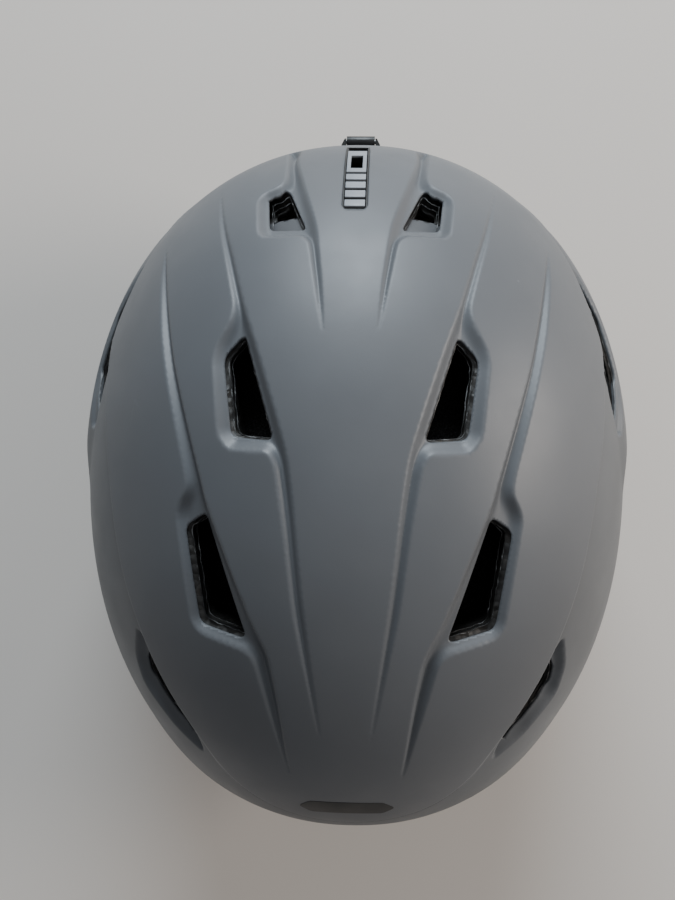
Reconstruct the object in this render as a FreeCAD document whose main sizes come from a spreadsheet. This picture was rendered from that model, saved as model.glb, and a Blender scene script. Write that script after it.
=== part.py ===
"""Ski helmet: a parametric FreeCAD assembly in millimetres.

Frame: +Z up, -Y is the wearer's front and +X the wearer's left.
The origin is the centre of the helmet's footprint on the surface that it stands on.
The shell is four quarter ellipsoids that meet at the "equator", the height where the helmet is widest.
"""

import FreeCAD, Part
import math
import os

import Sketcher
from FreeCAD import Placement, Rotation, Vector

OUT = "parts"
os.makedirs(OUT, exist_ok=True)
doc = FreeCAD.newDocument("ski_helmet")

# ---------------------------------------------------------------- driving dimensions (millimetres, degrees)
DIMS = {
    # outer form
    "half_width": 115.0,
    "front_reach": 148.0,
    "rear_reach": 141.5,
    "crown_rise": 115.0,
    "skirt_drop": 140.0,
    "equator_height": 98.0,
    # wall build-up
    "shell_wall": 2.0,
    "lower_step": 0.8,
    "bond_gap": 0.05,
    "cavity_half_width": 88.0,
    "cavity_front": 115.0,
    "cavity_rear": 104.0,
    "cavity_rise": 87.0,
    "cavity_drop": 300.0,
    "pad_thick": 6.5,
    "pad_gap": 0.4,
    # rim line, heights from the equator
    "front_rim": -9.0,
    "side_rim": -38.0,
    "rear_rim": -62.0,
    "trim_tall": 5.0,
    "trim_proud": 0.7,
    # vent slider and shutter, on arcs about a remote axis parallel to X
    "slider_radius": 127.6,
    "slider_wide": 7.4,
    "slider_thick": 3.2,
    "slider_proud": 0.5,
    "slider_travel": 3.6,
    "slot_front_angle": 51.6,
    "slot_rear_angle": 27.6,
    "guide_wall": 0.8,
    "slide_gap": 0.3,
    "slot_reach": 20.0,
    "shutter_thick": 1.6,
    "shutter_half_wide": 35.0,
    "shutter_front_angle": 60.0,
    "shutter_rear_angle": 50.0,
    # goggle strap clip
    "clip_outer": 148.5,
    "clip_thick": 3.4,
    "clip_wide": 12.2,
    "clip_taper": 1.0,
    "clip_long": 30.0,
    "clip_pivot_rise": 2.0,
    "clip_pin_radius": 0.9,
    "clip_base_wide": 16.8,
    # fit system at the nape
    "dial_height": 20.0,
    "knob_radius": 13.5,
    "knob_deep": 9.0,
    "housing_half_wide": 30.0,
    "housing_half_tall": 11.0,
    "housing_front": 87.0,
    "housing_deep": 6.1,
    "cover_deep": 3.35,
    "gear_module": 1.0,
    "pinion_teeth": 8.0,
    "gear_wide": 2.6,
    "gear_backlash": 0.35,
    "rack_travel": 7.0,
    "shaft_radius": 2.5,
    "running_gap": 0.06,
    "band_tall": 14.0,
    "band_thick": 1.5,
    "band_clear": 3.0,
    "band_back": 2.9,
    "temple_y": -44.0,
    "temple_drop": 17.0,
    "plug_radius": 2.0,
    # ear pads
    "ear_top_gap": 0.5,
    "ear_outer_top": 103.0,
    "ear_outer_bottom": 92.0,
    "ear_panel": 3.0,
    "ear_foam": 13.0,
    "stud_radius": 2.5,
    # webbing and buckle
    "web_wide": 16.0,
    "web_thick": 1.4,
    "web_y": -18.0,
    "web_height": 2.7,
    "buckle_half_wide": 13.0,
    "buckle_tall": 9.0,
    "socket_end": -24.0,
    "socket_mouth": 4.0,
    "tongue_end": 24.0,
    "buckle_wall": 2.0,
    "fit_gap": 0.3,
}

sheet = doc.addObject("Spreadsheet::Sheet", "dims")
for line, (alias, value) in enumerate(DIMS.items(), start=1):
    sheet.set(f"A{line}", alias)
    sheet.set(f"B{line}", repr(value))
    sheet.setAlias(f"B{line}", alias)
doc.recompute()


def dim(alias):
    """A driving dimension, read back from the sheet."""
    return float(sheet.get(alias))


def bind(obj, **expressions):
    """Binds properties to sheet cells; in an expression a bare alias is written with a leading $."""
    for prop, text in expressions.items():
        obj.setExpression(prop.replace("__", "."), text.replace("$", "dims."))
    return obj


# ---------------------------------------------------------------- small builders
def box(name, x, y, z):
    """A Part::Box from (low, high) pairs."""
    obj = doc.addObject("Part::Box", name)
    obj.Length, obj.Width, obj.Height = x[1] - x[0], y[1] - y[0], z[1] - z[0]
    obj.Placement = Placement(Vector(x[0], y[0], z[0]), Rotation())
    return obj


def combine(kind, name, shapes):
    """A Part::MultiFuse or Part::MultiCommon of several objects."""
    obj = doc.addObject(f"Part::Multi{kind}", name)
    obj.Shapes = shapes
    return obj


def cut(name, base, tool):
    """A Part::Cut of one object by another."""
    obj = doc.addObject("Part::Cut", name)
    obj.Base, obj.Tool = base, tool
    return obj


def cut_each(name, base, tools):
    """Cuts tools out one after another."""
    for i, tool in enumerate(tools):
        base = cut(name if i == len(tools) - 1 else f"{name}_{i}", base, tool)
    return base


def common(name, *shapes):
    """What several objects share."""
    return combine("Common", name, list(shapes))


def fuse(name, *shapes):
    """Several objects joined into one."""
    return combine("Fuse", name, list(shapes))


def shape_object(name, shape):
    """A Part::Feature round a shape made with Part's own functions."""
    obj = doc.addObject("Part::Feature", name)
    obj.Shape = shape
    return obj


def prism(name, points, direction, radius=0.0):
    """A closed polygon swept along a vector, its corners along the sweep rounded."""
    face = Part.Face(Part.makePolygon([*points, points[0]]))
    solid = face.extrude(direction)
    if radius > 0:
        along = Vector(direction).normalize()
        corners = [
            e
            for e in solid.Edges
            if isinstance(e.Curve, Part.Line)
            and abs(e.Curve.Direction.dot(along)) > 0.999
        ]
        solid = solid.makeFillet(radius, corners)
    return shape_object(name, solid)


def rod(name, start, axis, radius, length):
    """A Part::Cylinder from a point along an axis. Its radius is a number or an expression of the sheet."""
    obj = doc.addObject("Part::Cylinder", name)
    if isinstance(radius, str):
        bind(obj, Radius=radius)
    else:
        obj.Radius = radius
    obj.Height = length
    obj.Placement = Placement(start, Rotation(Vector(0, 0, 1), axis))
    return obj


def mirrored(name, source):
    """The copy of an object on the other side of X = 0."""
    obj = doc.addObject("Part::Mirroring", name)
    obj.Source = source
    obj.Base = Vector(0, 0, 0)
    obj.Normal = Vector(1, 0, 0)
    return obj


def layer(name, inset, half_width="$half_width", front="$front_reach", rear="$rear_reach",
          rise="$crown_rise", drop="$skirt_drop"):
    """The solid inside one skin of the helmet: four quarter ellipsoids, all smaller by inset."""
    quarters = []
    for end, reach, turn in (("front", front, 180.0), ("rear", rear, 0.0)):
        for half, height, low, high in (("up", rise, 0.0, 90.0), ("down", drop, -90.0, 0.0)):
            q = doc.addObject("Part::Ellipsoid", f"{name}_{end}_{half}")
            q.Angle1, q.Angle2, q.Angle3 = low, high, 180.0
            q.Placement = Placement(Vector(0, 0, 0), Rotation(Vector(0, 0, 1), turn))
            bind(q, Radius1=f"{height} - ({inset})", Radius2=f"{half_width} - ({inset})",
                 Radius3=f"{reach} - ({inset})", Placement__Base__z="$equator_height")
            quarters.append(q)
    return fuse(name, *quarters)


def cavity_layer(name, inset):
    """A skin of the head cavity: domed above the equator and nearly straight below it."""
    return layer(name, inset, "$cavity_half_width", "$cavity_front", "$cavity_rear",
                 "$cavity_rise", "$cavity_drop")


parts = {}


def keep(node, obj):
    """Names a finished sub-part: its Label is the name of its file."""
    obj.Label = node
    parts[node] = obj
    return obj


# ---------------------------------------------------------------- plan lines drawn on the shell
# Styling lines are drawn in plan on a shell of this size and stretch with the real one.
STYLE_HALF_WIDTH, STYLE_FRONT, STYLE_REAR = 115.0, 148.0, 141.5

REAR_VENT = [(17, 90), (31, 90), (33, 107), (25, 109)]
MIDDLE_VENT = [(25.5, 13.5), (41, 15), (44.5, 40), (37, 51)]
FRONT_VENT = [(49, -12), (57, -17.5), (51.5, -49), (35, -53)]
CREASE = [(0, -135), (24, -130), (43.5, -117), (59, -96), (74, -68), (86, -36), (93, 0), (97, 32),
          (95, 62), (89, 81.5), (75, 105.2), (50, 125.9), (25, 136.9), (0, 140.3)]


def plan(x, y, z=0.0):
    """A styling point, moved to where it falls on this helmet, at a height from the equator."""
    reach, drawn = (dim("rear_reach"), STYLE_REAR) if y > 0 else (dim("front_reach"), STYLE_FRONT)
    return Vector(x * dim("half_width") / STYLE_HALF_WIDTH, y * reach / drawn,
                  dim("equator_height") + z)


def on_arc(angle, radius):
    """A point on the slider's arc in the plane X = 0."""
    a = math.radians(angle)
    return SLIDER_AXIS + Vector(0, radius * math.cos(a), radius * math.sin(a))


def shell_height(x, y, inset=0.0):
    """Height of a skin above the equator at a plan point."""
    reach = dim("rear_reach") if y > 0 else dim("front_reach")
    share = (x / (dim("half_width") - inset)) ** 2 + (y / (reach - inset)) ** 2
    return (dim("crown_rise") - inset) * math.sqrt(max(0.0, 1 - share))


def slider_axis():
    """The centre of curvature of the shell's middle line behind the crown."""
    a, c = dim("rear_reach"), dim("crown_rise")
    t = math.radians(42.2)
    y, z = a * math.cos(t), c * math.sin(t)
    normal = Vector(0, y / a**2, z / c**2).normalize()
    return Vector(0, y, z + dim("equator_height")) - normal * dim("slider_radius")


SLIDER_AXIS = slider_axis()

# ---------------------------------------------------------------- skins
skin_outer = layer("skin_outer", "0")
skin_lower = layer("skin_lower", "$lower_step")
skin_shell_in = layer("skin_shell_in", "$shell_wall")
skin_foam = layer("skin_foam", "$shell_wall + $bond_gap")
skin_cavity = cavity_layer("skin_cavity", "0")
skin_pad_out = cavity_layer("skin_pad_out", "$pad_gap")
skin_pad_in = cavity_layer("skin_pad_in", "$pad_gap + $pad_thick")
skin_trim = layer("skin_trim", "0 - $trim_proud")


def rim_block(name, lift):
    """Everything above the rim line, seen from the side, with the line moved up by lift."""
    h = dim("equator_height") + lift
    far, top, side = 200.0, dim("equator_height") + 160.0, h + dim("side_rim")
    front, rear = h + dim("front_rim"), h + dim("rear_rim")
    brow_back, ear_front, ear_back, nape = -112.0, -46.0, 42.0, 96.0
    halves = []
    for y0, z0, y1, z1 in ((brow_back, front, ear_front, side), (ear_back, side, nape, rear)):
        pull = (y1 - y0) * 0.45
        curve = Part.BezierCurve()
        curve.setPoles([Vector(0, y0, z0), Vector(0, y0 + pull, z0), Vector(0, y1 - pull, z1),
                        Vector(0, y1, z1)])
        halves.append(curve.toShape())

    def line(a, b):
        return Part.makeLine(Vector(0, *a), Vector(0, *b))

    wire = Part.Wire([
        line((-far, front), (brow_back, front)), halves[0],
        line((ear_front, side), (ear_back, side)), halves[1],
        line((nape, rear), (far, rear)), line((far, rear), (far, top)),
        line((far, top), (-far, top)), line((-far, top), (-far, front))])
    profile = shape_object(f"{name}_profile", Part.Face(wire))
    block = doc.addObject("Part::Extrusion", name)
    block.Base = profile
    block.DirMode = "Custom"
    block.Dir = Vector(1, 0, 0)
    block.LengthFwd, block.LengthRev = 150.0, 150.0
    block.Solid = True
    return block


above_rim = rim_block("above_rim", 0.0)
above_trim = rim_block("above_trim", dim("trim_tall"))


def crease_block():
    """The plan inside the crease line, from the equator up: what the upper shell covers."""
    left = [plan(x, y) for x, y in CREASE]
    right = [Vector(-p.x, p.y, p.z) for p in reversed(left[1:-1])]
    curve = Part.BSplineCurve()
    curve.interpolate(left + right, PeriodicFlag=True)
    face = Part.Face(Part.Wire(curve.toShape()))
    return shape_object("inside_crease", face.extrude(Vector(0, 0, 140)))


inside_crease = crease_block()


def vent_tools():
    """Vertical holes through shell and liner: three a side."""
    tools = []
    for label, outline in (("rear", REAR_VENT), ("middle", MIDDLE_VENT), ("front", FRONT_VENT)):
        left = prism(f"vent_{label}_left", [plan(x, y, 20.0) for x, y in outline],
                      Vector(0, 0, 120), 1.2)
        tools += [left, mirrored(f"vent_{label}_right", left)]
    return fuse("vents", *tools)


def side_vent(name, x, y, long, tall, turn):
    """A slot through the side wall just below the crease line, level and square to the wall."""
    depth = 70.0
    low = -9.0
    z = shell_height(x, y) + low
    b = doc.addObject("Part::Box", name)
    b.Length, b.Width, b.Height = depth, long, tall
    away = Rotation(Vector(0, 0, 1), turn)
    corner = plan(x, y, z) + away.multVec(Vector(-depth + 20.0, -long / 2, -tall / 2))
    b.Placement = Placement(corner, away)
    return b


SIDE_VENTS = {"front": (69.0, -84.0, 36.0, 8.0, -41.0), "rear": (100.0, 50.0, 40.0, 8.0, 22.0)}
vents = vent_tools()
side_lefts = [side_vent(f"side_vent_{k}_left", *v) for k, v in SIDE_VENTS.items()]
side_vents = fuse("side_vents", *side_lefts,
                  *[mirrored(f"{b.Name[:-6]}_right", b) for b in side_lefts])


# ---------------------------------------------------------------- vent slider
def arc_block(name, radii, angles, half_wide):
    """A block between two radii and two angles about the slider's axis, centred on X = 0."""
    (r0, r1), (a0, a1) = radii, angles
    points = [on_arc(a0, r0), on_arc(a0, r1), on_arc((a0 + a1) / 2, r1), on_arc(a1, r1),
              on_arc(a1, r0), on_arc((a0 + a1) / 2, r0)]
    wire = Part.Wire([
        Part.makeLine(points[0], points[1]),
        Part.Arc(points[1], points[2], points[3]).toShape(),
        Part.makeLine(points[3], points[4]),
        Part.Arc(points[4], points[5], points[0]).toShape()])
    face = Part.Face(wire)
    face.translate(Vector(-half_wide, 0, 0))
    return shape_object(name, face.extrude(Vector(2 * half_wide, 0, 0)))


def dished_block(name, radii, angles, half_wide):
    """As arc_block, but dished across X as the shell is."""
    across = 100.0
    (r0, r1), (a0, a1) = radii, angles

    def arc(radius):
        dip = across - math.sqrt(across**2 - half_wide**2)
        return Part.Arc(Vector(-half_wide, radius - dip, 0), Vector(0, radius, 0),
                        Vector(half_wide, radius - dip, 0)).toShape()

    outer, inner = arc(r1), arc(r0)
    ends = [Part.makeLine(outer.Vertexes[i].Point, inner.Vertexes[i].Point) for i in (0, 1)]
    face = Part.Face(Part.Wire(Part.sortEdges([outer, inner, *ends])[0]))
    solid = face.revolve(Vector(0, 0, 0), Vector(1, 0, 0), a1 - a0)
    obj = shape_object(name, solid)
    obj.Placement = Placement(SLIDER_AXIS, Rotation(Vector(1, 0, 0), a0))
    return obj


def build_slider():
    """Guide, knob, shutter and screw; returns the slot in the shell and the rooms in the liner."""
    r_shell = dim("slider_radius")
    gap, wall = dim("slide_gap"), dim("guide_wall")
    half = dim("slider_wide") / 2
    front, rear = dim("slot_front_angle"), dim("slot_rear_angle")
    per_mm = math.degrees(1 / r_shell)
    rest_rear = rear + dim("slider_travel") + 2 * gap * per_mm
    rest_front = front - 2 * gap * per_mm
    r_knob_in = r_shell - dim("slider_thick") + dim("slider_proud")
    r_top = r_shell + dim("slider_proud")

    through = (r_shell - dim("slot_reach"), r_shell + dim("slot_reach") / 2)
    slot = arc_block("slider_slot", through,
                     (rear - wall * per_mm, front + wall * per_mm), half + gap + wall)
    frame = arc_block("guide_outside", (r_knob_in + gap, r_shell - 0.3),
                      (rear - (wall - 0.1) * per_mm, front + (wall - 0.1) * per_mm),
                      half + gap + wall - 0.1)
    opening = arc_block("guide_opening", through, (rear, front), half + gap)
    keep("slider_guide", cut("slider_guide", frame, opening))

    blank = arc_block("knob_blank", (r_knob_in, r_top), (rest_rear, rest_front), half)
    window_start, window_end, bars_start = 2.6, 8.2, 9.6
    window_side = 1.4
    window = arc_block("knob_window", through, (rest_rear + window_start, rest_rear + window_end),
                       half - window_side)
    groove_count, groove_wide, groove_deep = 4, 1.8, 1.5
    pitch = (rest_front - rest_rear - bars_start + 0.2) / groove_count
    grooves = []
    for i in range(groove_count):
        a = rest_rear + bars_start + pitch * i
        grooves.append(arc_block(f"knob_groove_{i}", (r_top - groove_deep, r_top + 5),
                                 (a, a + groove_wide * per_mm), half + 1.0))
    screw_angle = rest_rear + bars_start + 2.6 * pitch
    screw_at = on_arc(screw_angle, r_knob_in + 1.6)
    inward = on_arc(screw_angle, 0) - on_arc(screw_angle, 1)
    screw_hole = rod("slider_screw_hole", screw_at, inward, 1.3, 12.0)
    keep("slider_knob", cut("slider_knob", blank, fuse("knob_tools", window, screw_hole, *grooves)))

    r_plate = r_knob_in - 0.02
    thick = dim("shutter_thick")
    plate_front, plate_rear = dim("shutter_front_angle"), dim("shutter_rear_angle")
    plate = dished_block("shutter_plate", (r_plate - thick, r_plate), (plate_rear, plate_front),
                         dim("shutter_half_wide"))
    tongue = arc_block("shutter_tongue", (r_plate - thick, r_plate), (rest_rear + 9.0, plate_rear + 1),
                       half - 1.0)
    whole = fuse("shutter_whole", plate, tongue)
    keep("vent_shutter", cut("vent_shutter", whole, screw_hole))

    screw = fuse("slider_screw",
                 rod("slider_screw_shank", screw_at, inward, 1.25, 1.6 + thick + 0.1),
                 rod("slider_screw_head", on_arc(screw_angle, r_plate - thick - 0.04), inward, 2.4, 1.2))
    keep("slider_screw", screw)

    travel_clear, below = 0.8, 2.2
    room = (r_plate - thick - below, r_shell + 3)
    pocket = dished_block("shutter_pocket", room,
                          (plate_rear - dim("slider_travel") - travel_clear,
                           plate_front + travel_clear), dim("shutter_half_wide") + 1.5)
    tunnel = arc_block("slider_tunnel", room, (rear - 1.2, front + 1.2), half + gap + wall + 0.3)
    return slot, [pocket, tunnel]


slot, slider_rooms = build_slider()


# ---------------------------------------------------------------- goggle strap clip
def build_clip():
    """Goggle strap clip at the back: a fixed base, a pin and an arm that swings up."""
    h = dim("equator_height")
    outer, thick = dim("clip_outer"), dim("clip_thick")
    knuckle = 2.4
    pin_y, pin_z = outer - knuckle, h + dim("clip_pivot_rise")
    wide, taper = dim("clip_wide"), dim("clip_taper")
    lug_wide = 2.0
    base_half = dim("clip_base_wide") / 2
    pin_half = base_half - 1.1
    inner_half = base_half - lug_wide
    low = pin_z - dim("clip_long")
    plate_y = pin_y - knuckle - 0.5

    # base: a plate on the shell with two lugs that carry the pin
    plate = box("clip_plate", (-base_half, base_half), (120.0, plate_y), (low - 3, pin_z + 4))
    lug_end = pin_y + dim("clip_pin_radius")
    lug_plan = [(inner_half, plate_y - 3.0), (base_half, plate_y - 3.0), (base_half, pin_y - 1.8),
                (base_half - 1.4, lug_end), (inner_half, lug_end)]
    lugs = [prism(f"clip_lug_{s}", [Vector(s * x, y, pin_z - 2.2) for x, y in lug_plan],
                  Vector(0, 0, 4.4)) for s in (-1, 1)]
    hole = rod("clip_hole", Vector(-20, pin_y, pin_z), Vector(1, 0, 0),
               "$clip_pin_radius + 0.02", 40)
    stud = rod("clip_stud", Vector(0, plate_y - 1.0, low + 5), Vector(0, 1, 0), 3.0,
               1.0 + (outer - thick) - plate_y - 0.2)
    body = fuse("clip_base_block", plate, *lugs, stud)
    rough = cut("clip_base_rough", body, skin_outer)
    keep("clip_base", cut("clip_base", rough, hole))

    # arm: a bar whose outer corners are chamfered, with a knuckle at its top
    half = inner_half - 0.3
    section = [Vector(-wide / 2, outer - thick, low), Vector(wide / 2, outer - thick, low),
               Vector(wide / 2, outer - thick + 0.8, low),
               Vector(wide / 2 - taper, outer, low), Vector(taper - wide / 2, outer, low),
               Vector(-wide / 2, outer - thick + 0.8, low)]
    bar = prism("clip_bar", section, Vector(0, 0, pin_z - low))
    trim = box("clip_bar_limit", (-half, half), (outer - 10, outer + 1), (low - 1, pin_z))
    barrel = rod("clip_barrel", Vector(-half, pin_y, pin_z), Vector(1, 0, 0), knuckle, 2 * half)
    lip = prism("clip_lip", [Vector(-5, outer - thick, low), Vector(-5, outer, low),
                             Vector(-5, outer, low - 2.5)], Vector(10, 0, 0))
    arm = fuse("clip_arm_solid", common("clip_bar_between", bar, trim), barrel, lip)
    keep("clip_arm", cut("clip_arm", arm, rod(
        "clip_arm_bore", Vector(-20, pin_y, pin_z), Vector(1, 0, 0),
        "$clip_pin_radius + $running_gap", 40)))
    keep("clip_pin", rod("clip_pin", Vector(-pin_half, pin_y, pin_z), Vector(1, 0, 0),
                         "$clip_pin_radius", 2 * pin_half))


build_clip()

# ---------------------------------------------------------------- straps' places, needed by the liner
EAR_TOP = dim("equator_height") + dim("side_rim") - dim("ear_top_gap")


def ear_x(z, depth=0.0):
    """X of a plane parallel to the ear pad's outer face, depth inside it, on the +X side."""
    low, high = dim("ear_outer_bottom"), dim("ear_outer_top")
    return low + (high - low) * z / EAR_TOP - depth


def leaning_slab(name, depths, z, y=(-60.0, 60.0)):
    """A slab between two planes parallel to the ear pad's outer face."""
    (d0, d1), (z0, z1) = depths, z
    return prism(name, [Vector(ear_x(z0, d0), y[0], z0), Vector(ear_x(z1, d0), y[0], z1),
                        Vector(ear_x(z1, d1), y[0], z1), Vector(ear_x(z0, d1), y[0], z0)],
                 Vector(0, y[1] - y[0], 0))


def side_outline(name, points, radius=0.0):
    """An outline in the YZ plane swept through the +X side."""
    return prism(name, [Vector(60, y, z) for y, z in points], Vector(70, 0, 0), radius)


def strip_outline(name, start, end, wide):
    """A straight strip of webbing seen from the side."""
    a, b = Vector(0, *start), Vector(0, *end)
    across = (b - a).normalize().cross(Vector(1, 0, 0)) * (wide / 2)
    return side_outline(name, [(p.y, p.z) for p in (a + across, b + across, b - across, a - across)])


ANCHOR_TOP = dim("equator_height") + dim("side_rim") + 20.0
ANCHOR_LIFT, ANCHOR_TALL = 2.0, 5.0
STRAPS = {
    "front": ((-32.0, ANCHOR_TOP), (-20.0, 9.0), (0.2, 0.2 + dim("web_thick"))),
    "rear": ((30.0, ANCHOR_TOP), (-12.0, 11.0), (0.4 + dim("web_thick"), 0.4 + 2 * dim("web_thick"))),
}


def build_side_straps():
    """Front and rear webbing of the left side, the pockets that they need, and their anchors."""
    solids, pockets, anchors = {}, [], []
    panel = dim("ear_panel")
    for label, (top, bottom, (d0, d1)) in STRAPS.items():
        strip = strip_outline(f"{label}_strip", top, bottom, dim("web_wide") - 2)
        slab = leaning_slab(f"{label}_slab", (panel + d0, panel + d1),
                            (5.0, ANCHOR_TOP + ANCHOR_LIFT))
        solids[label] = common(f"{label}_strap_left", strip, slab)
        wide_strip = strip_outline(f"{label}_pocket_strip", (top[0], top[1] + 1), bottom,
                                   dim("web_wide") - 1)
        wide_slab = leaning_slab(f"{label}_pocket_slab", (panel + d0 - 0.3, panel + d1 + 0.3),
                                 (5.0, ANCHOR_TOP + 6))
        pockets.append(common(f"{label}_pocket", wide_strip, wide_slab))
        x = ear_x(ANCHOR_TOP + 2, panel + (d0 + d1) / 2)
        size = (7.0, 18.0, ANCHOR_TALL)
        place = Vector(x - size[0] / 2, top[0] - size[1] / 2, ANCHOR_TOP + ANCHOR_LIFT + 0.05)
        anchors.append(box(f"{label}_anchor_left", *[(place[i], place[i] + size[i]) for i in range(3)]))
        grow = 0.2
        pockets.append(box(f"{label}_anchor_pocket", *[
            (place[i] - grow, place[i] + size[i] + grow) for i in range(3)]))
    return solids, pockets, anchors


side_straps, strap_pockets, anchors_left = build_side_straps()
for label, solid in side_straps.items():
    keep(f"{label}_strap_left", solid)
    keep(f"{label}_strap_right", mirrored(f"{label}_strap_right", solid))
anchors_right = [mirrored(f"{a.Name}_m", a) for a in anchors_left]
keep("strap_anchors", doc.addObject("Part::Compound", "strap_anchors")).Links = [
    *anchors_left, *anchors_right]

WEB_X, WEB_TOP = 18.0, dim("equator_height") - 10.0
STUD_YS = (-8.0, 12.0)
STUD_DEPTH = 10.5
STUD_RISE = 7.0


def plug_rods(prefix, radius, extra):
    """Plugs that hold the headband at the temples and the cradle at the rear wall, level with Y or X."""
    y, z = dim("temple_y") + 6.5, dim("equator_height") - dim("temple_drop")
    wall_x = dim("cavity_half_width") * math.sqrt(1 - (y / dim("cavity_front")) ** 2)
    inner = wall_x - dim("band_clear") - dim("band_thick") - 1.5
    temple = [rod(f"{prefix}_temple_{s}", Vector(s * inner, y, z), Vector(s, 0, 0), radius,
                  wall_x - inner + 6.0 + extra) for s in (-1, 1)]
    rear = [rod(f"{prefix}_rear_{s}", Vector(s * WEB_X, dim("cavity_rear") - 9.5, WEB_TOP - 6.0),
                Vector(0, 1, 0), radius, 18.0 + extra) for s in (-1, 1)]
    return [*temple, *rear]


def stud_rods(prefix, radius, extra):
    """Upright studs that plug an ear pad into the liner's lower face."""
    rods = []
    for i, y in enumerate(STUD_YS):
        x = ear_x(EAR_TOP, STUD_DEPTH)
        rods.append(rod(f"{prefix}_{i}", Vector(x, y, EAR_TOP - STUD_RISE - extra), Vector(0, 0, 1),
                        radius, 2 * STUD_RISE + 2 * extra))
    return rods


# ---------------------------------------------------------------- shells, trim and liner
shell_wall_solid = cut("shell_wall_solid", skin_outer, skin_shell_in)
lower_wall_solid = cut("lower_wall_solid", skin_lower, skin_shell_in)
all_holes = fuse("all_holes", vents, slot)
keep("upper_shell", cut("upper_shell", common("upper_blank", shell_wall_solid, inside_crease),
                        all_holes))
lower_blank = cut("lower_blank", common("lower_body", lower_wall_solid, above_trim), inside_crease)
keep("lower_shell", cut("lower_shell", lower_blank, fuse("lower_holes", side_vents, slot)))
trim_wall = cut("trim_wall", skin_trim, skin_shell_in)
keep("rim_trim", cut("rim_trim", common("trim_body", trim_wall, above_rim), above_trim))

foam_body = common("foam_body", cut("foam_wall", skin_foam, skin_cavity), above_rim)
stud_holes = stud_rods("stud_hole", "$stud_radius + 0.05", 0.5)
plug_holes = plug_rods("plug_hole", "$plug_radius + 0.05", 0.5)
mirror_tools = [mirrored(f"{p.Name}_m", p) for p in (*strap_pockets, *stud_holes)]
keep("foam_liner", cut_each("foam_liner", foam_body, [
    vents, side_vents, *slider_rooms, *strap_pockets, *stud_holes, *plug_holes, *mirror_tools]))

# emblem: a thin plain hexagonal bar on the brow
EMBLEM = [(-18.5, -126), (-14, -129.5), (14, -129.5), (18.5, -126), (14, -122.5), (-14, -122.5)]
emblem_skin = layer("emblem_skin", "0 - 0.35")
keep("front_emblem", common(
    "front_emblem", cut("emblem_wall", emblem_skin, skin_outer),
    prism("emblem_outline", [plan(x, y, 20) for x, y in EMBLEM], Vector(0, 0, 100))))

# ---------------------------------------------------------------- comfort liner
pad_wall = cut("pad_wall", skin_pad_out, skin_pad_in)


def pad(node, *regions):
    """A comfort pad: the part of the padded wall that lies in all the regions."""
    return keep(node, common(node, pad_wall, *regions))


def build_pads():
    """Comfort pads on the cavity wall and the hook patches that hold them."""
    h = dim("equator_height")
    w = dim("cavity_half_width")
    front, rear = dim("cavity_front"), dim("cavity_rear")
    brow_z = (h + dim("front_rim") + 3, h + 17)
    pad("brow_pad", box("brow_region", (-w, w), (-front - 5, -0.42 * front), brow_z))
    pad("crown_pad", box("crown_region", (-17, 17), (-0.55 * front, 0.6 * rear), (h + 30, h + 120)))
    side = box("side_region", (24, w), (-0.3 * front, 0.55 * rear), (h + 20, h + 53))
    pad("side_pad_left", side)
    keep("side_pad_right", mirrored("side_pad_right", parts["side_pad_left"]))
    pad("rear_pad", box("rear_region", (-42, 42), (0.55 * rear, rear + 5), (h - 8, h + 18)))

    patch_wall = cut("patch_wall", cavity_layer("patch_out", "0.03"),
                     cavity_layer("patch_in", "$pad_gap - 0.03"))
    places = [(s * 34, -front, h + 10) for s in (-1, 1)] + [(0, -front, h + 10)]
    places += [(s * 30, rear, h + 5) for s in (-1, 1)]
    places += [(s * w * 0.85, y, h + 36) for s in (-1, 1) for y in (-16, 30)]
    spots = [box(f"patch_spot_{i}", (x - 12, x + 12), (y - 14, y + 14), (z - 6, z + 6))
             for i, (x, y, z) in enumerate(places)]
    spots += [box(f"patch_spot_top_{i}", (-11, 11), (y - 12, y + 12), (h + 60, h + 120))
              for i, y in enumerate((-30, 34))]
    keep("hook_patches", common("hook_patches", patch_wall, fuse("patch_spots", *spots)))


build_pads()


# ---------------------------------------------------------------- ear pads
EAR_OUTLINE = [(-38, EAR_TOP), (37, EAR_TOP), (38, 40), (24, 0), (-34, 0), (-42, 22)]


def build_ear_pads():
    """Ear pads: a stiff panel outside, a cushion inside, and studs up into the liner."""
    outline = side_outline("ear_outline", EAR_OUTLINE, 9.0)
    panel, foam = dim("ear_panel"), dim("ear_foam")
    z = (0.0, EAR_TOP)
    rods = stud_rods("ear_stud", "$stud_radius", 0.0)
    stud_room = stud_rods("ear_stud_room", "$stud_radius + 0.05", 0.2)
    web, deep = dim("web_wide") / 2 + 1.8, 4.6
    slit = box("ear_slit", (60, ear_x(12, panel)), (dim("web_y") - web, dim("web_y") + web),
               (deep, deep + 7.4))
    keep("ear_panel_left", common("ear_panel_left", outline,
                                   leaning_slab("ear_panel_slab", (0.0, panel), z)))
    foam_slab = common("ear_foam_body", outline,
                       leaning_slab("ear_foam_slab", (panel + 0.03, panel + foam), z))
    keep("ear_cushion_left", cut_each("ear_cushion_left", foam_slab,
                                       [slit, *stud_room, *strap_pockets]))
    for node in ("ear_panel", "ear_cushion"):
        keep(f"{node}_right", mirrored(f"{node}_right", parts[f"{node}_left"]))
    rights = [mirrored(f"{r.Name}_m", r) for r in rods]
    keep("ear_studs", doc.addObject("Part::Compound", "ear_studs")).Links = [*rods, *rights]


build_ear_pads()


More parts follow.
